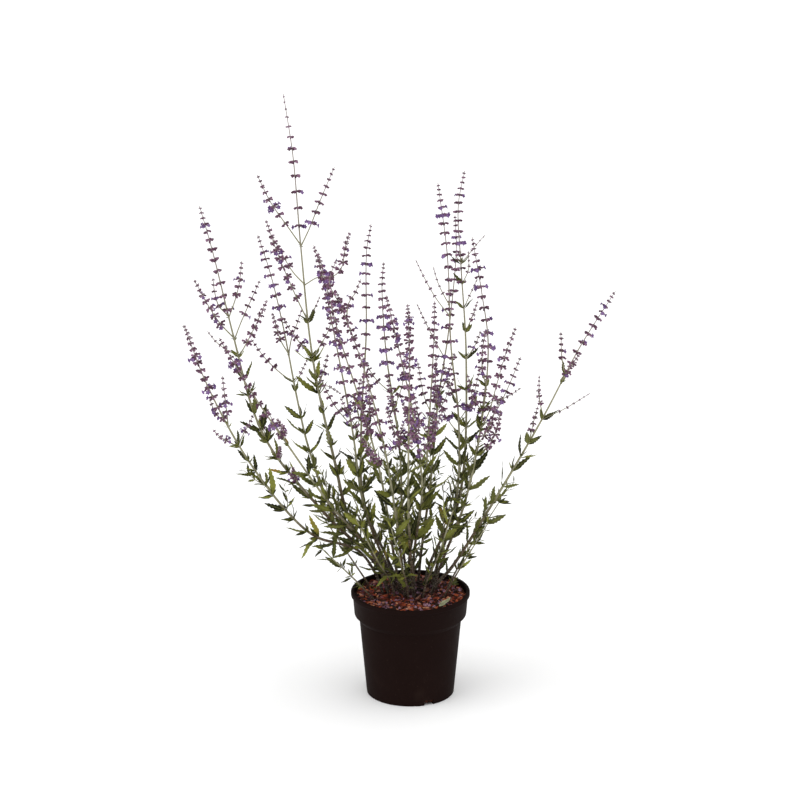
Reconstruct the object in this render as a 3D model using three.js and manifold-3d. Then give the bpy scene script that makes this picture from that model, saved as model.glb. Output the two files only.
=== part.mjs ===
// Potted Russian sage: a black nursery pot filled with bark compost, eighteen flowering stems and ten
// short leafy shoots standing in it. Millimetres, +Z up, origin at the centre of the pot's flat underside.
import * as THREE from 'three';
import { mergeVertices } from 'three/addons/utils/BufferGeometryUtils.js';
import Module from 'manifold-3d';

const wasm = await Module();
wasm.setup();

// Pot
const potHeight = 172;
const lipRadius = 95;
const lipDepth = 8;
const lipBulge = 3;
const collarDepth = 38;
const collarBottomRadius = 89.5;
const bodyTopRadius = 81.5;
const bodyTopDepth = 47;
const baseRadius = 70;
const potWall = 2.4;
const potFloor = 3;
const potSides = 32;
const slotCount = 3;
const slotWidth = 16;
const slotHeight = 7;
const slotDepth = 7;
const slotTurn = -65;

// Compost
const soilDrop = 9;
const soilMound = 3;
const soilLump = 2.2;
const soilRings = 3;
const soilSides = 20;
const clearance = 0.3;
const soilGap = 0.8;

// Leaves: opposite pairs, each pair turned a quarter from the pair below.
const leafPitch = 28;
const leafLength = 43;
const leafWidth = 10.5;
const leafThickness = 0.7;
const leafLean = 50;
const leafArch = 0.16;
// Half outline of a toothed blade: [share of the length, share of the half width].
const leafTeeth = [[0.38, 1], [0.5, 0.66], [0.7, 0.8]];
const leafMargin = 1.6;
const leafRootClear = 2.5;
const pairTurn = 45;
const turnSpread = 0.8;
const rollSpread = 1.7;
const leanSpread = 22;
const smallestLeaf = 0.62;
const sizeSpread = 0.5;
const pitchSpread = 0.3;
const lowestLeaf = 26;
const lowestShootLeaf = 16;
const shootLeafScale = 0.9;
const shootSeed = 31;

// The shed leaf on the compost, in front on the right.
const fallenPlace = [44, -62];
const fallenTurn = 40;
const fallenLength = 27;
const fallenWidth = 12;
const settleStep = 0.1;

// Flower spikes: whorls of small calyces round a slim axis.
const spikeRadius = 1.1;
const tipRadius = 0.55;
const whorlHeight = 3.2;
const calyxReach = 8;
const openReach = 12;
const openShare = 0.1;
const calyxMouth = 2.1;
const calyxLift = 0.04;
const firstWhorl = 4;
const firstStep = 6;
const stepGrowth = 1.3;
const longestStep = 24;
const spraySpread = 1.3;
const leastStep = 30;
const floretsPerWhorl = 3;
const floretMargin = 2.6;
const stalkMargin = 2.2;
const sprayMargin = 1;
const claimPace = 4;
const sprayRootClear = 14;
const smallestWhorl = 0.3;
const fullWhorlAt = 80;
const barestShare = 0.3;
const longestBare = 30;

// Stalks: how finely their curves are followed, and their radii where they change character.
const stepsPerSpan = 24;
const stalkPace = 44;
const straightEnough = 0.3;
const panicleRadius = 1.6;
const shootTipRadius = 0.8;

// Each flowering stem: its path from foot to tip, where the panicle starts, where the lowest whorl sits,
// its radius at the foot, how widely its whorls are spaced, and its own turn between leaf pairs, if any.
const stems = [
  { name: '01', split: 452, flowers: 478, thick: 2.6, spread: 1,
    path: [[-38, 5, 140], [-54, 4, 195], [-84, 0, 240], [-147, -18, 268], [-182, -32, 302],
      [-252, -70, 413], [-312, -116, 551], [-345, -150, 660]] },
  { name: '02', split: 560, flowers: 640, thick: 3.2, spread: 1.25,
    path: [[-30, 16, 140], [-50, 14, 203], [-134, 2, 299], [-218, -8, 411], [-247, -14, 479],
      [-275, -23, 600], [-306, -34, 745], [-324, -40, 817]] },
  { name: '03', split: 430, flowers: 445, thick: 2.4, spread: 1.1,
    path: [[-27, 3, 140], [-58, -15, 234], [-127, -43, 333], [-188, -70, 435], [-243, -94, 530],
      [-293, -120, 630]] },
  { name: '04', split: 596, flowers: 750, thick: 3.6, spread: 1.5, turn: 0,
    path: [[-20, 28, 140], [-30, 28, 186], [-93, 30, 271], [-121, 35, 380], [-154, 42, 545],
      [-172, 50, 730], [-183, 56, 872], [-197, 60, 969]] },
  { name: '05', split: 466, flowers: 560, thick: 2.9, spread: 1.15,
    path: [[-18, 42, 140], [-42, 44, 207], [-121, 62, 278], [-162, 76, 384], [-179, 88, 456],
      [-203, 107, 582], [-223, 120, 666], [-242, 130, 724]] },
  { name: '06', split: 446, flowers: 458, thick: 2.8, spread: 1,
    path: [[-14, 8, 140], [-40, 5, 215], [-74, 2, 315], [-92, -4, 446], [-121, -13, 613],
      [-137, -17, 700], [-150, -20, 749]] },
  { name: '07', split: 470, flowers: 482, thick: 2.8, spread: 1.1,
    path: [[-6, 50, 140], [-38, 62, 205], [-75, 88, 293], [-79, 119, 402], [-71, 161, 549],
      [-70, 198, 680], [-63, 210, 720]] },
  { name: '08', split: 446, flowers: 456, thick: 2.8, spread: 1,
    path: [[-12, 1, 140], [-29, -27, 259], [-48, -52, 389], [-77, -76, 508], [-109, -100, 624],
      [-141, -130, 769]] },
  { name: '09', split: 430, flowers: 442, thick: 2.8, spread: 1,
    path: [[-6, -5, 140], [-20, -59, 295], [-41, -111, 451], [-71, -160, 591], [-101, -198, 694],
      [-111, -210, 728]] },
  { name: '10', split: 452, flowers: 464, thick: 2.6, spread: 1,
    path: [[0, 34, 140], [-12, 40, 235], [-17, 55, 390], [-39, 74, 550], [-45, 86, 660],
      [-42, 90, 691]] },
  { name: '11', split: 430, flowers: 442, thick: 2.6, spread: 1,
    path: [[8, 3, 140], [5, -11, 228], [18, -33, 353], [5, -53, 476], [-20, -75, 605],
      [-38, -90, 689]] },
  { name: '12', split: 446, flowers: 456, thick: 2.8, spread: 1,
    path: [[7, -6, 140], [-3, -79, 320], [-3, -154, 509], [-2, -200, 620], [-5, -240, 720]] },
  { name: '13', split: 425, flowers: 437, thick: 2.5, spread: 1,
    path: [[2, 13, 140], [-2, 12, 219], [21, 13, 337], [31, 16, 478], [37, 19, 600],
      [37, 20, 647]] },
  { name: '14', split: 430, flowers: 442, thick: 2.7, spread: 1,
    path: [[11, 49, 140], [16, 57, 202], [33, 99, 324], [45, 141, 445], [62, 179, 552],
      [74, 221, 673], [72, 240, 727]] },
  { name: '15', split: 440, flowers: 452, thick: 2.8, spread: 1.1,
    path: [[16, 26, 140], [31, 28, 205], [71, 39, 302], [77, 57, 431], [64, 74, 559],
      [58, 94, 701], [43, 110, 814]] },
  { name: '16', split: 508, flowers: 640, thick: 3, spread: 1.1,
    path: [[28, 36, 140], [44, 41, 202], [81, 64, 320], [89, 105, 524], [80, 139, 677],
      [76, 158, 765], [86, 170, 818]] },
  { name: '17', split: 432, flowers: 448, thick: 2.8, spread: 1.1,
    path: [[28, 10, 140], [47, 9, 207], [85, 14, 311], [110, 21, 431], [122, 29, 572],
      [112, 34, 653], [96, 40, 745]] },
  { name: '18', split: 448, flowers: 520, thick: 3.2, spread: 1.1,
    path: [[24, 2, 140], [40, -2, 180], [66, -2, 212], [134, 0, 326], [208, 4, 460],
      [265, 7, 576], [319, 10, 666]] },
];

// Side sprays: the stem, the height they leave it at, and their path from there.
const sprays = [
  ['01', 477, [[-284, -97, 500], [-287, -100, 531], [-290, -102, 563]]],
  ['01', 484, [[-298, -80, 490], [-307, -66, 500], [-313, -54, 512]]],
  ['01', 440, [[-280, -86, 449], [-294, -93, 460], [-306, -101, 476]]],
  ['01', 444, [[-261, -62, 455], [-254, -50, 464], [-246, -34, 478]]],
  ['02', 637, [[-298, -19, 651], [-305, -11, 674], [-307, -6, 693]]],
  ['02', 634, [[-272, -32, 664], [-265, -38, 692], [-260, -46, 731]]],
  ['02', 600, [[-296, -35, 628], [-315, -48, 664], [-333, -63, 706]]],
  ['02', 597, [[-264, -9, 622], [-249, 10, 652], [-235, 27, 679]]],
  ['02', 568, [[-254, -34, 597], [-236, -53, 638], [-221, -70, 676]]],
  ['02', 571, [[-288, -7, 576], [-306, 8, 586], [-318, 19, 598]]],
  ['02', 392, [[-206, -28, 409], [-204, -50, 432]]],
  ['02', 352, [[-184, -30, 374], [-184, -54, 398]]],
  ['02', 424, [[-233, 18, 440], [-239, 46, 452]]],
  ['03', 440, [[-203, -56, 455], [-215, -46, 472], [-225, -38, 491]]],
  ['03', 450, [[-197, -92, 470], [-206, -120, 500]]],
  ['04', 730, [[-191, 44, 760], [-217, 37, 801], [-238, 30, 848]]],
  ['04', 727, [[-157, 55, 758], [-141, 61, 799], [-119, 70, 850]]],
  ['04', 667, [[-185, 64, 682], [-206, 91, 710], [-219, 107, 729]]],
  ['04', 665, [[-145, 37, 681], [-120, 27, 686], [-107, 20, 703], [-102, 8, 737], [-94, -3, 765]]],
  ['04', 607, [[-179, 27, 652], [-197, 7, 703], [-210, -8, 743], [-223, -26, 791]]],
  ['04', 604, [[-152, 68, 618], [-143, 92, 634]]],
  ['04', 545, [[-171, 62, 561], [-189, 82, 578], [-204, 102, 597]]],
  ['04', 548, [[-141, 30, 573], [-128, 24, 600], [-121, 22, 631]]],
  ['04', 498, [[-133, 27, 506], [-120, 8, 506], [-109, -10, 504]]],
  ['04', 501, [[-137, 60, 520], [-131, 80, 542]]],
  ['05', 536, [[-206, 88, 562], [-214, 72, 596], [-218, 60, 616]]],
  ['05', 534, [[-190, 109, 556], [-181, 120, 579], [-173, 130, 602]]],
  ['05', 491, [[-203, 101, 500], [-231, 117, 522], [-255, 133, 551]]],
  ['05', 476, [[-177, 74, 504], [-163, 56, 541]]],
  ['09', 681, [[-94, -178, 703], [-84, -168, 716], [-76, -160, 735]]],
  ['09', 655, [[-104, -197, 700], [-122, -214, 746], [-112, -222, 782]]],
  ['15', 605, [[40, 67, 638], [21, 52, 677], [8, 41, 708]]],
  ['15', 622, [[50, 96, 640], [43, 104, 654], [36, 114, 676]]],
  ['14', 509, [[39, 144, 545], [23, 122, 584], [10, 104, 618]]],
  ['16', 674, [[92, 144, 687], [106, 152, 703], [119, 158, 716]]],
  ['16', 643, [[92, 119, 670], [91, 101, 706]]],
  ['16', 605, [[96, 136, 626], [107, 152, 645]]],
  ['16', 568, [[98, 95, 599], [106, 75, 631]]],
  ['16', 526, [[102, 119, 542], [113, 135, 564]]],
  ['17', 434, [[124, 8, 470], [135, -9, 520], [148, -25, 575], [163, -39, 622]]],
  ['17', 440, [[130, 30, 455], [150, 38, 490], [174, 52, 546]]],
  ['17', 468, [[132, 44, 476], [152, 66, 474], [176, 90, 482]]],
  ['17', 392, [[124, -8, 420], [136, -33, 457], [140, -54, 492]]],
  ['17', 505, [[112, 8, 546], [116, -15, 611]]],
  ['18', 462, [[202, -13, 496], [200, -36, 543]]],
  ['18', 530, [[238, 26, 552], [237, 56, 586]]],
  ['18', 458, [[244, 22, 470], [284, 44, 488]]],
  ['18', 421, [[194, 29, 442], [202, 53, 463]]],
  ['18', 517, [[248, -14, 546], [262, -34, 577]]],
];

// Short leafy shoots that fill the middle and the sides just above the pot.
const shoots = [
  { name: '1', thick: 1.8, path: [[-21, -8, 140], [-30, -24, 190], [-52, -60, 245], [-86, -98, 330]] },
  { name: '2', thick: 1.8, path: [[0, -17, 140], [-6, -38, 196], [-16, -80, 250], [-30, -132, 325]] },
  { name: '3', thick: 1.8, path: [[17, -12, 140], [24, -30, 192], [42, -64, 250], [66, -106, 345]] },
  { name: '4', thick: 1.8, path: [[41, -6, 140], [80, -28, 222], [122, -54, 305]] },
  { name: '5', thick: 1.8, path: [[45, 20, 140], [86, 44, 212], [142, 68, 296]] },
  { name: '6', thick: 1.8, path: [[2, 66, 140], [-4, 104, 220], [-22, 156, 325]] },
  { name: '7', thick: 1.8, path: [[24, 60, 140], [50, 98, 225], [84, 150, 335]] },
  { name: '8', thick: 1.8, path: [[-26, 54, 140], [-60, 94, 215], [-108, 150, 315]] },
  { name: '9', thick: 1.8, path: [[-48, 32, 140], [-92, 56, 200], [-152, 80, 286]] },
  { name: '10', thick: 1.8, path: [[-42, -9, 140], [-84, -44, 202], [-138, -84, 272]] },
];

// A repeatable draw between 0 and 1 for a pair of whole numbers.
function draw(a, b) {
  const wave = Math.sin(a * 12.9898 + b * 78.233) * 43758.5453;
  return wave - Math.floor(wave);
}

// A stalk along a smooth curve through given points, kept as straight lengths and measured along them.
class Stalk {
  constructor(points) {
    const knots = points.map((p) => new THREE.Vector3(...p));
    const curve = new THREE.CatmullRomCurve3(knots, false, 'centripetal');
    const fine = curve.getPoints(stepsPerSpan * (points.length - 1));
    const runs = [0];
    for (let i = 1; i < fine.length; i++) runs.push(runs[i - 1] + fine[i].distanceTo(fine[i - 1]));
    const count = Math.max(2, Math.round(runs[runs.length - 1] / stalkPace));
    this.points = [];
    this.lengths = [0];
    for (let k = 0, i = 1; k <= count; k++) {
      const run = (runs[runs.length - 1] * k) / count;
      while (i < runs.length - 1 && runs[i] < run) i++;
      const share = (run - runs[i - 1]) / (runs[i] - runs[i - 1]);
      this.points.push(fine[i - 1].clone().lerp(fine[i], share));
      if (k > 0) this.lengths.push(this.lengths[k - 1] + this.points[k].distanceTo(this.points[k - 1]));
    }
    this.length = this.lengths[this.lengths.length - 1];
  }

  at(distance) {
    const s = Math.min(Math.max(distance, 0), this.length);
    let i = 1;
    while (i < this.lengths.length - 1 && this.lengths[i] < s) i++;
    const share = (s - this.lengths[i - 1]) / (this.lengths[i] - this.lengths[i - 1]);
    return this.points[i - 1].clone().lerp(this.points[i], share);
  }

  // Distance along the stalk at which it first reaches a height.
  reach(height) {
    let i = 1;
    while (i < this.points.length - 1 && this.points[i].z < height) i++;
    const share = (height - this.points[i - 1].z) / (this.points[i].z - this.points[i - 1].z);
    return this.lengths[i - 1] + Math.max(0, Math.min(1, share)) * (this.lengths[i] - this.lengths[i - 1]);
  }

  // Direction of growth, and two directions square to it.
  frame(distance) {
    const along = this.at(distance + 1.5).sub(this.at(distance - 1.5)).normalize();
    const depth = new THREE.Vector3(0, 1, 0);
    const first = depth.addScaledVector(along, -along.y).normalize();
    const second = along.clone().cross(first);
    return { along, first, second };
  }

  // Point at a radius and angle round the stalk.
  around(distance, radius, angle) {
    const { first, second } = this.frame(distance);
    return this.at(distance).addScaledVector(first, radius * Math.cos(angle))
      .addScaledVector(second, radius * Math.sin(angle));
  }

  outward(distance, angle) {
    const { first, second } = this.frame(distance);
    return first.multiplyScalar(Math.cos(angle)).addScaledVector(second, Math.sin(angle));
  }
}

function solidFrom(geometry) {
  const bare = new THREE.BufferGeometry().setAttribute('position', geometry.getAttribute('position'));
  if (geometry.index) bare.setIndex(geometry.index);
  const merged = mergeVertices(bare, 1e-4);
  return new wasm.Manifold(new wasm.Mesh({
    numProp: 3,
    vertProperties: new Float32Array(merged.attributes.position.array),
    triVerts: new Uint32Array(merged.index.array),
  }));
}

function solidOf(points, triangles) {
  const geometry = new THREE.BufferGeometry().setFromPoints(points);
  geometry.setIndex(triangles.flat());
  return solidFrom(geometry);
}

function geometryOf(solid) {
  const mesh = solid.getMesh();
  const positions = new Float32Array(mesh.numVert * 3);
  for (let i = 0; i < mesh.numVert; i++) {
    for (let k = 0; k < 3; k++) positions[i * 3 + k] = mesh.vertProperties[i * mesh.numProp + k];
  }
  const geometry = new THREE.BufferGeometry();
  geometry.setAttribute('position', new THREE.BufferAttribute(positions, 3));
  geometry.setIndex(new THREE.BufferAttribute(new Uint32Array(mesh.triVerts), 1));
  const flat = geometry.toNonIndexed();
  flat.computeVertexNormals();
  return flat;
}

// Closed tube of rings with the same number of corners; a raised panel takes the place of a plain one where
// panelAt gives the two points of its outer edge.
function ringTube(rings, sides, panelAt) {
  const points = [];
  const triangles = [];
  for (const ring of rings) {
    for (let m = 0; m < sides; m++) {
      points.push(ring.stalk.around(ring.s, ring.radius, ring.phase + (2 * Math.PI * m) / sides));
    }
  }
  for (let i = 0; i < rings.length - 1; i++) {
    for (let m = 0; m < sides; m++) {
      const next = (m + 1) % sides;
      const low = [i * sides + m, i * sides + next];
      const high = [(i + 1) * sides + m, (i + 1) * sides + next];
      const edge = panelAt ? panelAt(i, m) : null;
      if (edge) {
        const bottom = points.length;
        points.push(...edge);
        const top = bottom + 1;
        triangles.push([low[0], low[1], bottom], [high[1], high[0], top], [low[1], high[1], top],
          [low[1], top, bottom], [high[0], low[0], bottom], [high[0], bottom, top]);
      } else if (rings[i + 1].phase > rings[i].phase) {
        triangles.push([low[0], low[1], high[0]], [low[1], high[1], high[0]]);
      } else {
        triangles.push([low[0], low[1], high[1]], [low[0], high[1], high[0]]);
      }
    }
  }
  const last = (rings.length - 1) * sides;
  for (let m = 1; m < sides - 1; m++) {
    triangles.push([0, m + 1, m], [last, last + m, last + m + 1]);
  }
  return solidOf(points, triangles);
}

// Distances of the stalk's own bends that lie between two distances.
function bendsBetween(stalk, from, to) {
  return stalk.lengths.filter((s) => s > from + 2 && s < to - 2);
}

function plainTube(stalk, from, to, radiusAt, sides) {
  const rings = [from, ...bendsBetween(stalk, from, to), to]
    .map((s) => ({ stalk, s, radius: radiusAt(s), phase: Math.PI / 4 }));
  return ringTube(rings, sides);
}

// Distances from the tip at which the whorls of one spike sit, closer together towards the tip.
function whorlSteps(reach, spread) {
  const steps = [];
  let distance = firstWhorl;
  for (let m = 0; distance < reach; m++) {
    steps.push(distance);
    distance += spread * Math.min(longestStep, firstStep + stepGrowth * m);
  }
  return steps;
}

// The whorls that the solid keeps: no two closer than the least step.
function keptWhorls(reach, spread) {
  const kept = [];
  for (const step of whorlSteps(reach, spread)) {
    if (!kept.length || step - kept[kept.length - 1] >= leastStep) kept.push(step);
  }
  return kept;
}

// Points already taken by stalks and florets, each with its radius and the spike it belongs to.
const taken = [];

function isFree(point, owners, margin) {
  return taken.every((spot) => owners.includes(spot.owner)
    || spot.point.distanceTo(point) > spot.radius + margin);
}

function claimStalk(stalk, from, radius, owner) {
  for (let s = from; s <= stalk.length; s += claimPace) taken.push({ point: stalk.at(s), radius, owner });
}

// One flower spike: a slim three-sided axis whose faces rise into calyces at each whorl.
function spikeSolid(spike) {
  const { stalk, from, flowersFrom, spread, seed, owners, rootRadius } = spike;
  const radiusAt = (s) => rootRadius + (tipRadius - rootRadius) * ((s - from) / (stalk.length - from));
  const places = keptWhorls(stalk.length - flowersFrom, spread).map((step) => stalk.length - step).reverse();
  const rings = [];
  const panels = new Map();
  const addPlain = (start, end, phase) => {
    const chord = new THREE.Line3(stalk.at(start), stalk.at(end));
    const near = new THREE.Vector3();
    bendsBetween(stalk, start, end).forEach((s) => {
      const bend = stalk.at(s);
      const isStraight = chord.closestPointToPoint(bend, true, near).distanceTo(bend) < straightEnough;
      if (!isStraight) rings.push({ stalk, s, radius: radiusAt(s), phase });
    });
  };
  rings.push({ stalk, s: from, radius: radiusAt(from), phase: 0 });
  let previous = from;
  places.forEach((s, j) => {
    const phase = (j % 2) * (Math.PI / floretsPerWhorl);
    const size = Math.min(1, smallestWhorl + (stalk.length - s) / fullWhorlAt);
    addPlain(previous, s - whorlHeight / 2, phase);
    rings.push({ stalk, s: s - whorlHeight / 2, radius: radiusAt(s), phase });
    panels.set(rings.length - 1, { s, phase, size, order: j });
    rings.push({ stalk, s: s + whorlHeight / 2, radius: radiusAt(s), phase });
    previous = s + whorlHeight / 2;
  });
  rings.push({ stalk, s: stalk.length, radius: tipRadius * 0.6, phase: rings[rings.length - 1].phase });

  return ringTube(rings, floretsPerWhorl, (i, m) => {
    const whorl = panels.get(i);
    if (!whorl) return null;
    const angle = whorl.phase + (Math.PI * (2 * m + 1)) / floretsPerWhorl;
    const isOpen = draw(seed + 7 * whorl.order, m) < openShare;
    const reach = (isOpen ? openReach : calyxReach) * whorl.size;
    const { along } = stalk.frame(whorl.s);
    const tip = stalk.at(whorl.s).addScaledVector(stalk.outward(whorl.s, angle), reach)
      .addScaledVector(along, reach * calyxLift);
    if (!isFree(tip, owners, floretMargin)) return null;
    taken.push({ point: tip, radius: floretMargin, owner: owners[0] });
    const mouth = calyxMouth * whorl.size;
    return [tip.clone().addScaledVector(along, -mouth), tip.clone().addScaledVector(along, mouth)];
  });
}

// A toothed blade in the plane of its two directions, arching back towards its tip.
function bladeSolid(leaf, grow) {
  const { root, out, side, up, length, width } = leaf;
  const place = (share, across, lift) => root.clone()
    .addScaledVector(out, share * (length + grow))
    .addScaledVector(side, across)
    .addScaledVector(up, lift - leafArch * length * share * share);
  const half = leafThickness / 2 + grow / 2;
  const columns = [[0, 0], ...leafTeeth.map(([u, v]) => [u, v * (width / 2) + grow / 2]), [1, 0]];
  const points = [];
  const index = [];
  columns.forEach(([share, across]) => {
    const row = [];
    const edges = across ? [-across, across] : [0];
    edges.forEach((edge) => {
      row.push([points.length, points.length + 1]);
      points.push(place(share, edge, half), place(share, edge, -half));
    });
    index.push(row);
  });
  const triangles = [];
  const addFace = (a, b, c) => {
    triangles.push([a[0], b[0], c[0]], [a[1], c[1], b[1]]);
  };
  const addEdge = (a, b) => {
    triangles.push([a[0], a[1], b[1]], [a[0], b[1], b[0]]);
  };
  for (let i = 0; i < index.length - 1; i++) {
    const [left, right = left] = index[i];
    const [farLeft, farRight = farLeft] = index[i + 1];
    if (left !== right) addFace(left, right, farRight);
    if (farLeft !== farRight) addFace(left, farRight, farLeft);
    addEdge(right, farRight);
    addEdge(farLeft, left);
  }
  return solidOf(points, triangles);
}

// A shed leaf lying flat on the compost, let down until it all but touches it.
function makeFallenLeaf(soil) {
  const turn = (fallenTurn * Math.PI) / 180;
  const out = new THREE.Vector3(Math.cos(turn), Math.sin(turn), 0);
  const side = new THREE.Vector3(Math.sin(turn), -Math.cos(turn), 0);
  const up = new THREE.Vector3(0, 0, 1);
  const leafAt = (height) => bladeSolid({
    root: new THREE.Vector3(fallenPlace[0], fallenPlace[1], height),
    out, side, up, length: fallenLength, width: fallenWidth,
  }, 0);
  let height = potHeight;
  while (leafAt(height).intersect(soil).volume() === 0) height -= settleStep;
  return leafAt(height + settleStep + clearance);
}

// Where the leaves of a leafy stretch stand: pairs at every pitch, each pair a quarter turn on.
function leafSites(stalk, from, to, seed, scale, turn = pairTurn) {
  const sites = [];
  const pairs = Math.max(1, Math.floor((to - from) / leafPitch));
  for (let j = 0; j < pairs; j++) {
    for (let k = 0; k < 2; k++) {
      const s = from + leafPitch * (j + pitchSpread * draw(seed, j));
      const leafOrder = 2 * j + k;
      const angle = (Math.PI / 2) * (seed + j + turn / 90) + Math.PI * k
        + turnSpread * (draw(seed + 3, leafOrder) - 0.5);
      const roll = rollSpread * (draw(seed + 11, leafOrder) - 0.5);
      const lean = ((leafLean + leanSpread * (draw(seed + 5, leafOrder) - 0.5)) * Math.PI) / 180;
      const size = scale * (smallestLeaf + sizeSpread * draw(seed + 9, leafOrder));
      const { along } = stalk.frame(s);
      const outward = stalk.outward(s, angle);
      const out = along.clone().multiplyScalar(Math.cos(lean)).addScaledVector(outward, Math.sin(lean));
      const level = along.clone().cross(outward).normalize();
      const side = level.clone().multiplyScalar(Math.cos(roll))
        .addScaledVector(out.clone().cross(level), Math.sin(roll));
      const up = out.clone().cross(side).multiplyScalar(-1);
      const length = leafLength * size;
      const width = leafWidth * size;
      sites.push({ j, k, root: stalk.at(s), out, side, up, length, width });
    }
  }
  return sites;
}

// Inner face of the pot's wall, from the floor up: [radius, height].
const innerWall = [
  [baseRadius - potWall, potFloor],
  [bodyTopRadius - potWall, potHeight - bodyTopDepth + 1],
  [collarBottomRadius - potWall, potHeight - collarDepth + 1],
  [lipRadius - lipBulge - potWall, potHeight],
];

function potProfile() {
  const outside = [
    [baseRadius, 0],
    [bodyTopRadius, potHeight - bodyTopDepth],
    [collarBottomRadius, potHeight - collarDepth],
    [lipRadius - lipBulge, potHeight - lipDepth],
    [lipRadius, potHeight - lipDepth + 1],
    [lipRadius, potHeight - 1],
    [lipRadius - 1, potHeight],
  ];
  return [[0, 0], ...outside, ...[...innerWall].reverse(), [0, potFloor]];
}

function turned(profile, sides) {
  return new THREE.LatheGeometry(profile.map(([r, z]) => new THREE.Vector2(r, z)), sides)
    .rotateX(Math.PI / 2);
}

function makePot() {
  let pot = solidFrom(turned(potProfile(), potSides));
  for (let i = 0; i < slotCount; i++) {
    const turn = ((slotTurn + (360 / slotCount) * i) * Math.PI) / 180;
    const slot = new THREE.BoxGeometry(slotDepth, slotWidth, 2 * slotHeight)
      .translate(baseRadius + 1, 0, 0).rotateZ(turn);
    pot = pot.subtract(solidFrom(slot));
  }
  return pot;
}

// Height of the lumpy compost surface.
function soilHeight(x, y) {
  const radius = Math.hypot(x, y) / lipRadius;
  const lumps = Math.sin(x * 0.21 + 1.3) * Math.cos(y * 0.19) + 0.6 * Math.sin(x * 0.11 - y * 0.16 + 2.1);
  return potHeight - soilDrop + soilMound * (1 - radius * radius) + soilLump * 0.5 * lumps;
}

function makeSoil(holes) {
  const floor = potFloor + clearance;
  const surface = potHeight - soilDrop;
  const [, shoulder, collar, rim] = innerWall;
  const share = (surface - collar[1]) / (rim[1] - collar[1]);
  const edgeRadius = collar[0] + (rim[0] - collar[0]) * share - soilGap;
  const levels = [[innerWall[0][0] - soilGap, floor], [shoulder[0] - soilGap, shoulder[1]],
    [collar[0] - soilGap, collar[1]]];
  const points = [new THREE.Vector3(0, 0, floor)];
  const ringStart = (ring) => 1 + ring * soilSides;
  const addRing = (radius, heightAt) => {
    for (let m = 0; m < soilSides; m++) {
      const angle = (2 * Math.PI * m) / soilSides;
      const x = radius * Math.cos(angle);
      const y = radius * Math.sin(angle);
      points.push(new THREE.Vector3(x, y, heightAt(x, y)));
    }
  };
  levels.forEach(([radius, height]) => addRing(radius, () => height));
  for (let ring = 0; ring < soilRings; ring++) {
    addRing(edgeRadius * (1 - ring / soilRings), (x, y) => soilHeight(x, y));
  }
  const total = levels.length + soilRings;
  const top = points.length;
  points.push(new THREE.Vector3(0, 0, soilHeight(0, 0)));
  const triangles = [];
  for (let m = 0; m < soilSides; m++) {
    const next = (m + 1) % soilSides;
    triangles.push([0, ringStart(0) + next, ringStart(0) + m]);
    for (let ring = 0; ring < total - 1; ring++) {
      const low = ringStart(ring);
      const high = ringStart(ring + 1);
      triangles.push([low + m, low + next, high + next], [low + m, high + next, high + m]);
    }
    triangles.push([ringStart(total - 1) + m, ringStart(total - 1) + next, top]);
  }
  return holes.reduce((soil, hole) => soil.subtract(hole), solidOf(points, triangles));
}

// The part that a foot takes out of the compost, with clearance all round and below.
function footHole(stalk, radius) {
  const wide = radius + clearance * 1.5;
  return plainTube(stalk, 0, stalk.reach(potHeight + 20), () => wide, 4);
}

function boxOf(solid) {
  const { min, max } = solid.boundingBox();
  return new THREE.Box3(new THREE.Vector3(...min), new THREE.Vector3(...max));
}

// Solids finished so far, with the box each of them lies in.
const placed = [];

function meetsOthers(solid, own) {
  const box = boxOf(solid);
  return placed.some((other) => other.key !== own && other.box.intersectsBox(box)
    && solid.intersect(other.solid).volume() > 0);
}

const group = new THREE.Group();

function addMesh(name, solid, color, roughness) {
  const material = new THREE.MeshStandardMaterial({ color, roughness, metalness: 0 });
  const mesh = new THREE.Mesh(geometryOf(solid), material);
  mesh.name = name;
  group.add(mesh);
}

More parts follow.
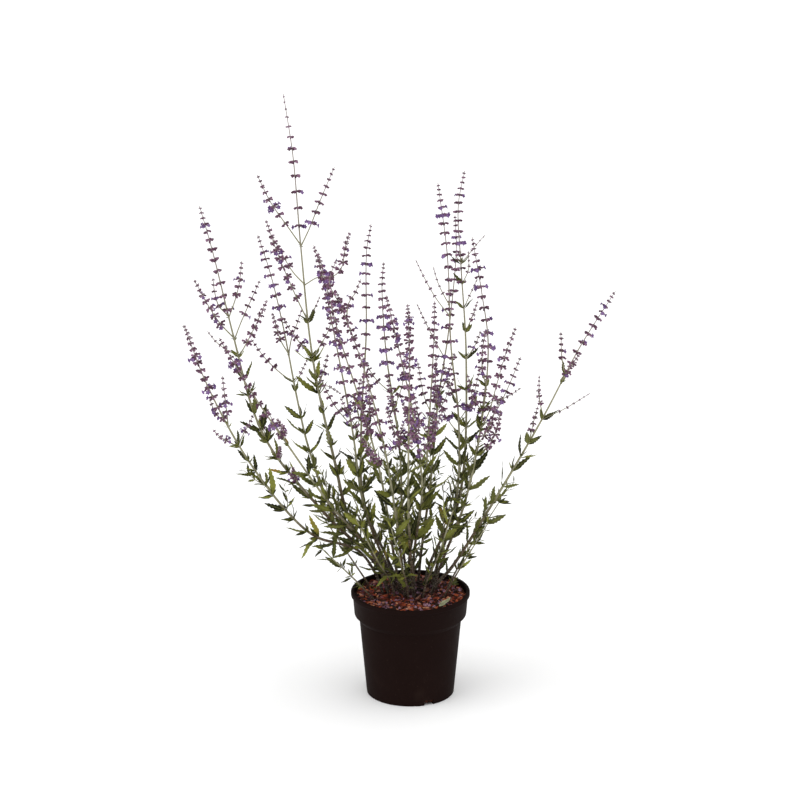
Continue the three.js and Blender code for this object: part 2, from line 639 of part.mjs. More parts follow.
function growPlant() {
  const plants = stems.map((stem, order) => {
    const stalk = new Stalk(stem.path);
    const splitAt = stalk.reach(stem.split);
    const own = sprays.filter(([name]) => name === stem.name).map(([, height, path], i) => {
      const start = stalk.at(stalk.reach(height));
      return { stalk: new Stalk([start.toArray(), ...path]), height, key: `${stem.name}-${i}` };
    });
    return { ...stem, order, stalk, splitAt, own, key: stem.name };
  });
  plants.forEach((plant) => {
    claimStalk(plant.stalk, 0, stalkMargin, plant.key);
    plant.own.forEach((spray) => claimStalk(spray.stalk, sprayRootClear, sprayMargin, spray.key));
  });

  const pieces = [];
  plants.forEach((plant) => {
    const radiusAt = (s) => plant.thick + (panicleRadius - plant.thick) * Math.min(1, s / plant.splitAt);
    const low = [plainTube(plant.stalk, clearance, plant.splitAt - clearance, radiusAt, 4)];
    const high = [spikeSolid({
      stalk: plant.stalk,
      from: plant.splitAt,
      flowersFrom: plant.stalk.reach(plant.flowers),
      spread: plant.spread,
      seed: 100 * plant.order,
      owners: [plant.key],
      rootRadius: panicleRadius,
    })];
    plant.own.forEach((spray, i) => {
      const solid = spikeSolid({
        stalk: spray.stalk,
        from: 0,
        flowersFrom: Math.min(longestBare, spray.stalk.length * barestShare),
        spread: spraySpread,
        seed: 100 * plant.order + 10 * (i + 1),
        owners: [spray.key, plant.key],
        rootRadius: spikeRadius,
      });
      (spray.height < plant.split ? low : high).push(solid);
    });
    pieces.push({ plant, low: wasm.Manifold.union(low), high: wasm.Manifold.union(high) });
  });
  const shootPieces = shoots.map((shoot, order) => {
    const stalk = new Stalk(shoot.path);
    const radiusAt = (s) => shoot.thick + (shootTipRadius - shoot.thick) * (s / stalk.length);
    return { shoot, stalk, order, low: plainTube(stalk, clearance, stalk.length, radiusAt, 4) };
  });

  pieces.forEach(({ plant, low, high }) => {
    placed.push({ key: `${plant.name}low`, solid: low, box: boxOf(low) });
    placed.push({ key: `${plant.name}high`, solid: high, box: boxOf(high) });
  });
  shootPieces.forEach(({ shoot, low }) => {
    placed.push({ key: `shoot${shoot.name}`, solid: low, box: boxOf(low) });
  });
  return { pieces, shootPieces };
}

// Adds to a stalk's solid the leaves that stay clear of every other piece.
function leaved(key, solid, sites, keep) {
  const blades = [];
  for (const site of sites) {
    if (!keep(site)) continue;
    const root = site.root.clone().addScaledVector(site.out, leafRootClear);
    const guard = bladeSolid({ ...site, root }, leafMargin);
    if (meetsOthers(guard, key)) continue;
    const blade = bladeSolid(site, 0);
    blades.push(blade);
    placed.push({ key: `${key}leaf${blades.length}`, solid: blade, box: boxOf(blade) });
  }
  return wasm.Manifold.union([solid, ...blades]);
}

const { pieces, shootPieces } = growPlant();
const holes = [...pieces.map(({ plant }) => footHole(plant.stalk, plant.thick)),
  ...shootPieces.map(({ stalk, shoot }) => footHole(stalk, shoot.thick))];
const pot = makePot();
const soil = makeSoil(holes);
placed.push({ key: 'pot', solid: pot, box: boxOf(pot) }, { key: 'soil', solid: soil, box: boxOf(soil) });

const leafColor = 0x5f6f37;
const bloomColor = 0x69527c;
const plasticColor = 0x282220;
const barkColor = 0x5c2f1c;
const dryLeafColor = 0xa9b08a;

pieces.forEach(({ plant, low, high }) => {
  const from = plant.stalk.reach(potHeight + lowestLeaf);
  const sites = leafSites(plant.stalk, from, plant.splitAt - 6, plant.order + 1, 1, plant.turn);
  const keep = ({ j, k }) => (j + 2 * k + plant.order) % 3 === 0;
  addMesh(`leafy_stem_${plant.name}`, leaved(`${plant.name}low`, low, sites, keep), leafColor, 0.75);
  addMesh(`flower_panicle_${plant.name}`, high, bloomColor, 0.8);
});
shootPieces.forEach(({ shoot, stalk, order, low }) => {
  const from = stalk.reach(potHeight + lowestShootLeaf);
  const sites = leafSites(stalk, from, stalk.length, order + shootSeed, shootLeafScale);
  const keep = ({ j, k }) => (j + k + order) % 2 === 0;
  addMesh(`leafy_shoot_${shoot.name}`, leaved(`shoot${shoot.name}`, low, sites, keep), leafColor, 0.75);
});
addMesh('pot', pot, plasticColor, 0.5);
addMesh('compost', soil, barkColor, 0.95);
addMesh('fallen_leaf', makeFallenLeaf(soil), dryLeafColor, 0.8);

export default group;
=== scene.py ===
# Potted Russian sage: finer stems, leaves, flower spikes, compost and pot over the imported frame.
import bpy
import math
import numpy as np
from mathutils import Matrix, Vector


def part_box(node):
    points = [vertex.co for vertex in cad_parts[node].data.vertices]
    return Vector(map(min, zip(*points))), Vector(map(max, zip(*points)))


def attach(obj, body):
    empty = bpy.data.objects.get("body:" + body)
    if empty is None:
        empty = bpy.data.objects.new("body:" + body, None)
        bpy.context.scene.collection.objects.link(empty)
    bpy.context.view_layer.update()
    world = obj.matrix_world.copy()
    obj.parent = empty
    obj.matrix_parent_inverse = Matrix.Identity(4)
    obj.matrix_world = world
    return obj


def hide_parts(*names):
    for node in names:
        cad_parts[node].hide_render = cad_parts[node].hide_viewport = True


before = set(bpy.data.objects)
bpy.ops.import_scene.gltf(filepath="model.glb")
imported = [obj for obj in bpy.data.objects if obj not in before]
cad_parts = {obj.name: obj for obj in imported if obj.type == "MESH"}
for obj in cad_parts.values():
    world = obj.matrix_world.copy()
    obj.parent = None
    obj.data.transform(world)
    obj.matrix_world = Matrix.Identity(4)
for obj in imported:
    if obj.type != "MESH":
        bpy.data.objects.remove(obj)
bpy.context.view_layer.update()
mm = 0.001

camera = {"place": (-0.0166, -5.6129, 2.3149), "tilt": 72.0, "lens": 169.1}
# Suns: strength, how wide their disc is, tilt from upright and turn from the front, in degrees.
light = {"sky": 0.66, "backdrop": 1.0, "top": (1.42, 90, 14, 60), "key": (0.9, 60, 56, -70)}

# Flowering stems: path from foot to tip in millimetres, where the panicle starts, where the lowest whorl sits,
# radius at the foot and, where it isn't 1, how widely the whorls are spaced. A few have their own turn of the
# first leaf pair, number of small leaves in an axil (tufts), height up to which the leaves under the sprays keep
# their size (leafyTo), or length of the tip that is still in bud.
stems = {
    "01": {"split": 452, "flowers": 478, "thick": 2.6, "path": [
        [-38, 5, 140], [-54, 4, 195], [-84, 0, 240], [-147, -18, 268], [-182, -32, 302], [-252, -70, 413],
        [-312, -116, 551], [-345, -150, 660]]},
    "02": {"split": 560, "flowers": 640, "thick": 3.2, "spread": 1.25, "leafyTo": 580, "path": [
        [-30, 16, 140], [-50, 14, 203], [-134, 2, 299], [-218, -8, 411], [-247, -14, 479], [-275, -23, 600],
        [-306, -34, 745], [-324, -40, 817]]},
    "03": {"split": 430, "flowers": 445, "thick": 2.4, "spread": 1.1, "path": [
        [-27, 3, 140], [-58, -15, 234], [-127, -43, 333], [-188, -70, 435], [-243, -94, 530], [-293, -120, 630]]},
    "04": {"split": 596, "flowers": 750, "thick": 3.6, "spread": 1.5, "turn": 0, "leafyTo": 630, "bud": 28, "path": [
        [-20, 28, 140], [-30, 28, 186], [-93, 30, 271], [-121, 35, 380], [-154, 42, 545], [-172, 50, 730],
        [-183, 56, 872], [-197, 60, 969]]},
    "05": {"split": 466, "flowers": 560, "thick": 2.9, "spread": 1.15, "leafyTo": 500, "path": [
        [-18, 42, 140], [-42, 44, 207], [-121, 62, 278], [-162, 76, 384], [-179, 88, 456], [-203, 107, 582],
        [-223, 120, 666], [-242, 130, 724]]},
    "06": {"split": 446, "flowers": 458, "thick": 2.8, "path": [
        [-14, 8, 140], [-40, 5, 215], [-74, 2, 315], [-92, -4, 446], [-121, -13, 613], [-137, -17, 700],
        [-150, -20, 749]]},
    "07": {"split": 470, "flowers": 482, "thick": 2.8, "spread": 1.1, "path": [
        [-6, 50, 140], [-38, 62, 205], [-75, 88, 293], [-79, 119, 402], [-71, 161, 549], [-70, 198, 680],
        [-63, 210, 720]]},
    "08": {"split": 446, "flowers": 456, "thick": 2.8, "path": [
        [-12, 1, 140], [-29, -27, 259], [-48, -52, 389], [-77, -76, 508], [-109, -100, 624], [-141, -130, 769]]},
    "09": {"split": 430, "flowers": 442, "thick": 2.8, "path": [
        [-6, -5, 140], [-20, -59, 295], [-41, -111, 451], [-71, -160, 591], [-101, -198, 694], [-111, -210, 728]]},
    "10": {"split": 452, "flowers": 464, "thick": 2.6, "path": [
        [0, 34, 140], [-12, 40, 235], [-17, 55, 390], [-39, 74, 550], [-45, 86, 660], [-42, 90, 691]]},
    "11": {"split": 430, "flowers": 442, "thick": 2.6, "path": [
        [8, 3, 140], [5, -11, 228], [18, -33, 353], [5, -53, 476], [-20, -75, 605], [-38, -90, 689]]},
    "12": {"split": 446, "flowers": 456, "thick": 2.8, "path": [
        [7, -6, 140], [-3, -79, 320], [-3, -154, 509], [-2, -200, 620], [-5, -240, 720]]},
    "13": {"split": 425, "flowers": 437, "thick": 2.5, "path": [
        [2, 13, 140], [-2, 12, 219], [21, 13, 337], [31, 16, 478], [37, 19, 600], [37, 20, 647]]},
    "14": {"split": 430, "flowers": 442, "thick": 2.7, "path": [
        [11, 49, 140], [16, 57, 202], [33, 99, 324], [45, 141, 445], [62, 179, 552], [74, 221, 673], [72, 240, 727]]},
    "15": {"split": 440, "flowers": 452, "thick": 2.8, "spread": 1.1, "path": [
        [16, 26, 140], [31, 28, 205], [71, 39, 302], [77, 57, 431], [64, 74, 559], [58, 94, 701], [43, 110, 814]]},
    "16": {"split": 508, "flowers": 640, "thick": 3, "spread": 1.1, "leafyTo": 700, "path": [
        [28, 36, 140], [44, 41, 202], [81, 64, 320], [89, 105, 524], [80, 139, 677], [76, 158, 765], [86, 170, 818]]},
    "17": {"split": 432, "flowers": 448, "thick": 2.8, "spread": 1.1, "leafyTo": 520, "path": [
        [28, 10, 140], [47, 9, 207], [85, 14, 311], [110, 21, 431], [122, 29, 572], [112, 34, 653], [96, 40, 745]]},
    "18": {"split": 448, "flowers": 520, "thick": 3.2, "spread": 1.1, "leafyTo": 560, "tufts": 2, "path": [
        [24, 2, 140], [40, -2, 180], [66, -2, 212], [134, 0, 326], [208, 4, 460], [265, 7, 576], [319, 10, 666]]},
}

# Side sprays of each stem: height at which they leave it, path from there and, for those still in bud, the share
# of their full size that their calyces have.
sprays = {
    "01": [
        (477, [[-284, -97, 500], [-287, -100, 531], [-290, -102, 563]]),
        (484, [[-298, -80, 490], [-307, -66, 500], [-313, -54, 512]]),
        (440, [[-280, -86, 449], [-294, -93, 460], [-306, -101, 476]]),
        (444, [[-261, -62, 455], [-254, -50, 464], [-246, -34, 478]])],
    "02": [
        (637, [[-298, -19, 651], [-305, -11, 674], [-307, -6, 693]]),
        (634, [[-272, -32, 664], [-265, -38, 692], [-260, -46, 731]]),
        (600, [[-296, -35, 628], [-315, -48, 664], [-333, -63, 706]]),
        (597, [[-264, -9, 622], [-249, 10, 652], [-235, 27, 679]]),
        (568, [[-254, -34, 597], [-236, -53, 638], [-221, -70, 676]]),
        (571, [[-288, -7, 576], [-306, 8, 586], [-318, 19, 598]], 0.6),
        (392, [[-206, -28, 409], [-204, -50, 432]]),
        (352, [[-184, -30, 374], [-184, -54, 398]]),
        (424, [[-233, 18, 440], [-239, 46, 452]])],
    "03": [
        (440, [[-203, -56, 455], [-215, -46, 472], [-225, -38, 491]]),
        (450, [[-197, -92, 470], [-206, -120, 500]])],
    "04": [
        (730, [[-191, 44, 760], [-217, 37, 801], [-238, 30, 848]]),
        (727, [[-157, 55, 758], [-141, 61, 799], [-119, 70, 850]]),
        (667, [[-185, 64, 682], [-206, 91, 710], [-219, 107, 729]]),
        (665, [[-145, 37, 681], [-120, 27, 686], [-107, 20, 703], [-102, 8, 737], [-94, -3, 765]]),
        (607, [[-179, 27, 652], [-197, 7, 703], [-210, -8, 743], [-223, -26, 791]]),
        (604, [[-152, 68, 618], [-143, 92, 634]], 0.6),
        (545, [[-171, 62, 561], [-189, 82, 578], [-204, 102, 597]]),
        (548, [[-141, 30, 573], [-128, 24, 600], [-121, 22, 631]]),
        (498, [[-133, 27, 506], [-120, 8, 506], [-109, -10, 504]], 0.6),
        (501, [[-137, 60, 520], [-131, 80, 542]])],
    "05": [
        (536, [[-206, 88, 562], [-214, 72, 596], [-218, 60, 616]]),
        (534, [[-190, 109, 556], [-181, 120, 579], [-173, 130, 602]]),
        (491, [[-203, 101, 500], [-231, 117, 522], [-255, 133, 551]]),
        (476, [[-177, 74, 504], [-163, 56, 541]], 0.7)],
    "09": [
        (681, [[-94, -178, 703], [-84, -168, 716], [-76, -160, 735]]),
        (655, [[-104, -197, 700], [-122, -214, 746], [-112, -222, 782]])],
    "15": [
        (605, [[40, 67, 638], [21, 52, 677], [8, 41, 708]], 0.45),
        (622, [[50, 96, 640], [43, 104, 654], [36, 114, 676]], 0.5)],
    "14": [
        (509, [[39, 144, 545], [23, 122, 584], [10, 104, 618]], 0.5)],
    "16": [
        (674, [[92, 144, 687], [106, 152, 703], [119, 158, 716]], 0.45),
        (643, [[92, 119, 670], [91, 101, 706]], 0.5),
        (605, [[96, 136, 626], [107, 152, 645]], 0.55),
        (568, [[98, 95, 599], [106, 75, 631]], 0.7),
        (526, [[102, 119, 542], [113, 135, 564]])],
    "17": [
        (434, [[124, 8, 470], [135, -9, 520], [148, -25, 575], [163, -39, 622]]),
        (440, [[130, 30, 455], [150, 38, 490], [174, 52, 546]]),
        (468, [[132, 44, 476], [152, 66, 474], [176, 90, 482]], 0.6),
        (392, [[124, -8, 420], [136, -33, 457], [140, -54, 492]]),
        (505, [[112, 8, 546], [116, -15, 611]])],
    "18": [
        (462, [[202, -13, 496], [200, -36, 543]], 0.7),
        (530, [[238, 26, 552], [237, 56, 586]]),
        (458, [[244, 22, 470], [284, 44, 488]], 0.42),
        (421, [[194, 29, 442], [202, 53, 463]]),
        (517, [[248, -14, 546], [262, -34, 577]])],
}

# Short leafy shoots in the middle and at the sides just above the pot.
shoots = [
    [[-21, -8, 140], [-30, -24, 190], [-52, -60, 245], [-86, -98, 330]],
    [[0, -17, 140], [-6, -38, 196], [-16, -80, 250], [-30, -132, 325]],
    [[17, -12, 140], [24, -30, 192], [42, -64, 250], [66, -106, 345]],
    [[41, -6, 140], [80, -28, 222], [122, -54, 305]],
    [[45, 20, 140], [86, 44, 212], [142, 68, 296]],
    [[2, 66, 140], [-4, 104, 220], [-22, 156, 325]],
    [[24, 60, 140], [50, 98, 225], [84, 150, 335]],
    [[-26, 54, 140], [-60, 94, 215], [-108, 150, 315]],
    [[-48, 32, 140], [-92, 56, 200], [-152, 80, 286]],
    [[-42, -9, 140], [-84, -44, 202], [-138, -84, 272]],
]


# Repeatable draw between 0 and 1: the fraction left of sin(12.9898 a + 78.233 b) * 43758.5453.
def drawOf(a, b):
    wave = np.sin(np.asarray(a) * 12.9898 + np.asarray(b) * 78.233) * 43758.5453
    return wave - np.floor(wave)


def unit(vectors):
    return vectors / np.maximum(np.linalg.norm(vectors, axis=-1, keepdims=True), 1e-9)


# Centripetal curve through the given points: on each span a cubic whose end slopes come from the three chords
# around it, each divided by the square root of its length.
def smoothCurve(points, steps=24):
    p = np.array(points, dtype=float)
    p = np.vstack([2 * p[0] - p[1], p, 2 * p[-1] - p[-2]])
    before, start, end, after = p[:-3], p[1:-2], p[2:-1], p[3:]
    root = lambda chord: np.sqrt(np.linalg.norm(chord, axis=1))[:, None]
    d0, d1, d2 = root(start - before), root(end - start), root(after - end)
    slopeIn = ((start - before) / d0 - (end - before) / (d0 + d1) + (end - start) / d1) * d1
    slopeOut = ((end - start) / d1 - (after - start) / (d1 + d2) + (after - end) / d2) * d1
    t = (np.arange(steps) / steps)[None, :, None]
    a, b, m, n = (x[:, None, :] for x in (start, end, slopeIn, slopeOut))
    curve = (a + m * t + (3 * (b - a) - 2 * m - n) * t ** 2 + (2 * (a - b) + m + n) * t ** 3).reshape(-1, 3)
    return np.vstack([curve, p[-2]])


# A stalk measured along its length, with the direction of growth and two directions square to it.
class Stalk:
    def __init__(self, points):
        self.points = smoothCurve(points)
        steps = np.linalg.norm(np.diff(self.points, axis=0), axis=1)
        self.lengths = np.concatenate([[0.0], np.cumsum(steps)])
        self.length = self.lengths[-1]

    def at(self, s):
        s = np.clip(s, 0, self.length)
        return np.stack([np.interp(s, self.lengths, self.points[:, k]) for k in range(3)], axis=-1)

    def reach(self, height):
        i = max(1, int(np.argmax(self.points[:, 2] >= height)))
        low, high = self.points[i - 1, 2], self.points[i, 2]
        return self.lengths[i - 1] + (height - low) / (high - low) * (self.lengths[i] - self.lengths[i - 1])

    def axes(self, s):
        s = np.asarray(s, dtype=float)
        along = unit(self.at(s + 1.5) - self.at(s - 1.5))
        first = unit(np.array([0.0, 1.0, 0.0]) - along[..., 1:2] * along)
        return along, first, np.cross(along, first)

    def outward(self, s, angle):
        first, second = self.axes(s)[1:]
        return first * np.cos(angle)[..., None] + second * np.sin(angle)[..., None]


# Points at a radius and an angle round the upright axis.
def polar(radius, angle, height):
    return np.stack(np.broadcast_arrays(radius * np.cos(angle), radius * np.sin(angle), height), axis=-1)


# Rings of equal corners joined by quads and closed by a pole at each end; the poles are the last two points.
def tubeFaces(rows, sides):
    m = np.arange(sides)
    n = (m + 1) % sides
    i = sides * np.arange(rows - 1)[:, None]
    quads = np.stack([i + m, i + n, i + sides + n, i + sides + m], axis=-1).reshape(-1, 4)
    last, low, high = (rows - 1) * sides, rows * sides, rows * sides + 1
    caps = np.concatenate([np.stack([n, m, np.full(sides, low)], axis=1),
                           np.stack([last + m, last + n, np.full(sides, high)], axis=1)])
    return quads, caps


# A value for each ring of a tube, given to all its corners, then those of the two poles.
def ringed(values, sides, low=0.0, high=0.0):
    return np.append(np.repeat(values, sides), [low, high])


# The angle of each corner of a tube, 0 at its poles.
def cornerTurns(rows, sides, start=0.0):
    return np.append(np.tile(2 * np.pi * np.arange(sides) / sides + start, rows), [0, 0])


# Points at given distances from each origin along the three directions of its own.
def spotsAt(origin, ways, distances):
    return sum((way[:, None] * part[..., None] for way, part in zip(ways, distances)), origin[:, None])


def linked(name, data):
    holder = bpy.data.objects.new(name, data)
    bpy.context.scene.collection.objects.link(holder)
    return holder


# Gathers the surfaces of one piece: points in millimetres, quads and triangles, materials and pattern values.
class Bundle:
    def __init__(self):
        self.points, self.grain, self.faces, self.slots = [], [], ([], []), ([], [])
        self.count = 0

    # points: copies x corners x 3; length share, place across and draw feed the pattern, by corner or by copy.
    def add(self, points, faces, slot=0, length=0, across=0, pick=0):
        copies, corners = points.shape[:2]
        shift = self.count + corners * np.arange(copies)[:, None, None]
        for k, part in enumerate(faces):
            self.faces[k].append((part + shift).reshape(-1, 4 - k))
            self.slots[k].append(np.full(copies * len(part), slot))
        grain = np.broadcast_arrays(length, across, pick, points[..., 0])[:3]
        self.grain.append(np.stack(grain, axis=-1).reshape(-1, 3))
        self.points.append(points.reshape(-1, 3))
        self.count += copies * corners
        return self

    def build(self, name, finishes, slotName, nodes=(), crease=50):
        mesh = bpy.data.meshes.new(name)
        quads, tris = (np.concatenate(part).tolist() for part in self.faces)
        mesh.from_pydata((np.concatenate(self.points) * mm).tolist(), [], quads + tris)
        mesh.polygons.foreach_set("material_index", np.concatenate(self.slots[0] + self.slots[1]).astype(np.int32))
        mesh.polygons.foreach_set("use_smooth", np.ones(len(mesh.polygons), dtype=bool))
        pattern = mesh.attributes.new("grain", "FLOAT_VECTOR", "POINT")
        pattern.data.foreach_set("vector", np.concatenate(self.grain).astype(np.float32).ravel())
        mesh.update()
        mesh.set_sharp_from_angle(angle=math.radians(crease))
        for finish in finishes:
            mesh.materials.append(finish)
        piece = linked(name, mesh)
        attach(piece, "root")
        if nodes:
            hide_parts(*nodes)
        return piece


# A colour of 0 to 255 as the linear values that sockets take.
def tone(red, green, blue):
    part = lambda v: (v / 255 / 12.92) if v / 255 <= 0.04045 else ((v / 255 + 0.055) / 1.055) ** 2.4
    return (part(red), part(green), part(blue), 1.0)


# One output of a node; sums, products and powers of values add their Math nodes.
class Wire:
    def __init__(self, finish, socket):
        self.finish, self.socket = finish, socket

    def __add__(self, other):
        return self.finish.math("ADD", self, other)

    def __sub__(self, other):
        return self.finish.math("SUBTRACT", self, other)

    def __rsub__(self, other):
        return self.finish.math("SUBTRACT", other, self)

    def __mul__(self, other):
        return self.finish.math("MULTIPLY", self, other)

    def __pow__(self, other):
        return self.finish.math("POWER", self, other)

    __radd__ = __add__
    __rmul__ = __mul__


class Finish:
    def __init__(self, name, constants):
        self.material = bpy.data.materials.new(name)
        self.material.use_nodes = True
        self.nodes = self.material.node_tree.nodes
        self.shader = self.nodes["Principled BSDF"]
        for socket, value in constants.items():
            self.shader.inputs[socket].default_value = value
        self.place = self.node("ShaderNodeTexCoord", {}, {}, "Object")

    # Any node: its type, its settings, then the values or wires of its sockets, and the output wanted.
    def node(self, kind, settings, inputs, output=0):
        node = self.nodes.new(kind)
        for key, value in settings.items():
            if key == "stops":
                ramp = node.color_ramp
                while len(ramp.elements) < len(value):
                    ramp.elements.new(0.5)
                for element, (where, color) in zip(ramp.elements, value):
                    element.position, element.color = where, tone(*color)
            else:
                setattr(node, key, value)
        for key, value in inputs.items():
            self.join(node.inputs[key], value)
        return Wire(self, node.outputs[output])

    def join(self, socket, value):
        if isinstance(value, Wire):
            self.material.node_tree.links.new(value.socket, socket)
        else:
            socket.default_value = tone(*value) if isinstance(value, tuple) else value

    def math(self, operation, first, second=0.0):
        return self.node("ShaderNodeMath", {"operation": operation}, {0: first, 1: second})

    def mix(self, share, first, second):
        return self.node("ShaderNodeMix", {"data_type": "RGBA"}, {0: share, 6: first, 7: second}, 2)

    def ramp(self, value, stops):
        return self.node("ShaderNodeValToRGB", {"stops": stops}, {0: value})

    def fade(self, value, low, high):
        return self.node("ShaderNodeMapRange", {"interpolation_type": "SMOOTHSTEP"},
                         {"Value": value, "From Min": low, "From Max": high})

    def noise(self, scale, detail=3.0):
        return self.node("ShaderNodeTexNoise", {}, {"Vector": self.place, "Scale": scale, "Detail": detail}, "Fac")

    def split(self, vector):
        return [self.node("ShaderNodeSeparateXYZ", {}, {0: vector}, k) for k in range(3)]

    def grain(self):
        return self.split(self.node("ShaderNodeAttribute", {"attribute_name": "grain"}, {}, "Vector"))

    # Pale midrib and side veins of a blade, from its length and across values.
    def veins(self, length, across, depth):
        off = self.math("ABSOLUTE", across)
        wave = self.math("PINGPONG", length * 6.5 - off * 1.3, 0.5)
        return 1 - self.fade(off, 0.03, 0.14), (1 - self.fade(wave, 0.02, 0.12)) * depth

    # The last step of every finish: its colour, its roughness and the height, distance and strength of its relief.
    def done(self, body, rough, height, distance, strength):
        relief = self.node("ShaderNodeBump", {}, {"Height": height, "Distance": distance, "Strength": strength})
        for socket, value in (("Base Color", body), ("Roughness", rough), ("Normal", relief)):
            self.join(self.shader.inputs[socket], value)
        return self.material


leafColors = {"shade": (21, 23, 7), "middle": (60, 64, 18), "light": (158, 161, 70), "rib": (136, 139, 78),
              "under": (112, 115, 64), "yellow": (160, 124, 44)}


# Blade: olive by draw and by patches, the draw running from painted shade on the darkest leaves to painted light on
# the palest, with paler midrib and side veins and a grey under face.
def makeLeafFinish():
    f = Finish("leafBlade", {"Specular IOR Level": 0.16})
    length, across, pick = f.grain()
    isUnder = f.math("GREATER_THAN", pick, 1.0)
    pick = f.math("FRACT", pick)
    c = leafColors
    body = f.ramp(pick * 0.7 + f.noise(55.0) * 0.3, [(0.14, c["shade"]), (0.58, c["middle"]), (0.94, c["light"])])
    old = f.fade(pick, 0.98, 0.988) * f.fade(f.noise(90.0, 2.0), 0.38, 0.6)
    rib, veins = f.veins(length, across, 0.3)
    body = f.mix(f.math("MAXIMUM", rib * 0.55, veins), f.mix(old, body, c["yellow"]), c["rib"])
    relief = rib * 0.8 + veins * 1.5 + f.noise(900.0, 2.0) * 0.5
    return f.done(f.mix(isUnder * 0.62, body, c["under"]), f.noise(240.0) * 0.2 + 0.52, relief, 0.0004, 0.7)


stalkColors = {"woodAndShade": (46, 30, 25), "low": (88, 70, 52), "green": (146, 143, 114), "spike": (146, 132, 132),
               "streak": (182, 178, 158)}


# Stalks: woody brown at the foot, deepened there into painted shade, grey-green above, lilac-grey in the spikes, with
# fine lengthwise streaks.
def makeStalkFinish():
    f = Finish("stalkSkin", {"Specular IOR Level": 0.16})
    age, c = f.grain()[0], stalkColors
    body = f.ramp(age + (f.noise(30.0) - 0.5) * 0.16,
                  [(0.05, c["woodAndShade"]), (0.24, c["low"]), (0.42, c["green"]), (0.74, c["green"]), (0.95, c["spike"])])
    streaks = f.fade(f.noise(420.0, 4.0), 0.42, 0.68)
    body = f.mix(streaks * 0.3, body, c["streak"])
    body = f.mix(f.fade(f.noise(160.0), 0.56, 0.76) * 0.35, body, c["woodAndShade"])
    return f.done(body, f.noise(300.0) * 0.25 + 0.58, streaks + f.noise(1200.0, 2.0) * 0.4, 0.0003, 0.6)


calyxColors = {"dark": (74, 44, 60), "middle": (112, 74, 98), "pale": (150, 114, 140), "down": (164, 138, 158),
               "green": (104, 92, 82)}


# Calyx: dusky purple with a greyer base and pale down over it.
def makeCalyxFinish():
    f = Finish("calyxDown", {"Sheen Weight": 0.06, "Specular IOR Level": 0.1})
    length, _, pick = f.grain()
    c = calyxColors
    body = f.ramp(pick * 0.75 + f.noise(70.0) * 0.25, [(0.15, c["dark"]), (0.55, c["middle"]), (0.9, c["pale"])])
    body = f.mix((1 - f.fade(length, 0.2, 0.5)) * 0.55, body, c["green"])
    down = f.fade(f.noise(1500.0, 2.0), 0.5, 0.66)
    return f.done(f.mix(down * 0.38, body, c["down"]), f.noise(500.0) * 0.15 + 0.78, down, 0.0003, 0.7)


petalColors = {"deep": (88, 58, 110), "middle": (116, 82, 138), "pale": (146, 114, 164), "throat": (166, 144, 176)}


# Corolla: blue-violet lobes, deeper towards their edge, with a pale throat.
def makePetalFinish():
    f = Finish("corollaPetal", {"Specular IOR Level": 0.12})
    length, across, pick = f.grain()
    c = petalColors
    body = f.ramp(pick * 0.7 + f.noise(110.0) * 0.3, [(0.15, c["deep"]), (0.5, c["middle"]), (0.92, c["pale"])])
    body = f.mix(f.fade(length, 0.75, 1.0) * 0.4, body, c["deep"])
    body = f.mix((1 - f.fade(across, 0.0, 0.35)) * 0.5, body, c["throat"])
    return f.done(body, f.noise(400.0) * 0.2 + 0.5, f.noise(900.0, 2.0), 0.0002, 0.5)


# Middle, inner and outer radius in metres and greatest share of the painted shade round the stem feet.
shadeSpot = {"x": 0.006, "y": 0.024, "from": 0.022, "to": 0.062, "share": 0.78}


# Share of painted shade, a dark colour where the stems shade the compost round their feet, fading out with the
# distance from between them.
def paintedShade(f):
    x, y = f.split(f.place)[:2]
    away = ((x - shadeSpot["x"]) ** 2.0 + (y - shadeSpot["y"]) ** 2.0) ** 0.5
    return (1 - f.fade(away + (f.noise(60.0) - 0.5) * 0.03, shadeSpot["from"], shadeSpot["to"])) * shadeSpot["share"]


chipColors = [(0.1, (20, 9, 8)), (0.36, (68, 24, 15)), (0.58, (128, 45, 25)), (0.76, (176, 82, 46)),
              (0.9, (224, 160, 120)), (0.98, (140, 100, 112))]


# Bark: one colour to a chip, from near black over rust to pale wood, with darker strands and pale broken spots, and
# painted shade round the stem feet.
def makeChipFinish():
    f = Finish("barkChip", {"Specular IOR Level": 0.25})
    body = f.ramp(f.grain()[2], chipColors)
    strands = f.fade(f.noise(500.0, 4.0), 0.35, 0.7)
    body = f.mix(strands * 0.5, body, (56, 28, 20))
    body = f.mix(f.fade(f.noise(190.0), 0.6, 0.78) * 0.4, body, (190, 150, 120))
    return f.done(f.mix(paintedShade(f), body, (22, 13, 11)), strands * 0.15 + 0.74, strands, 0.0006, 0.8)


# Compost crumbs in dark browns, with painted shade round the stem feet.
def makeSoilFinish():
    f = Finish("compostCrumb", {"Specular IOR Level": 0.15})
    crumbs = f.noise(260.0, 5.0)
    body = f.ramp(crumbs, [(0.3, (20, 12, 10)), (0.5, (52, 26, 18)), (0.66, (100, 50, 30)), (0.8, (136, 84, 56))])
    return f.done(f.mix(paintedShade(f), body, (16, 10, 9)), f.noise(120.0) * 0.1 + 0.86, crumbs, 0.0018, 1.0)


# Moulded plastic: brown-black, with faint flow patches, dust towards the foot and a fine tooth.
def makePlasticFinish():
    f = Finish("potPlastic", {"Specular IOR Level": 0.02})
    height = f.split(f.place)[2]
    body = f.ramp(f.noise(9.0, 4.0), [(0.25, (24, 14, 12)), (0.6, (28, 17, 15)), (0.85, (34, 22, 19))])
    dust = f.fade(f.noise(38.0, 5.0), 0.52, 0.8) * (1 - f.fade(height, 0.0, 0.12)) * 0.03
    specks = f.fade(f.noise(420.0, 2.0), 0.7, 0.78) * 0.2
    body = f.mix(f.math("MAXIMUM", dust, specks), body, (116, 98, 84))
    relief = f.noise(1300.0, 2.0) + f.noise(60.0) * 0.5
    return f.done(body, f.noise(26.0, 4.0) * 0.18 + 0.5, relief, 0.00025, 0.5)


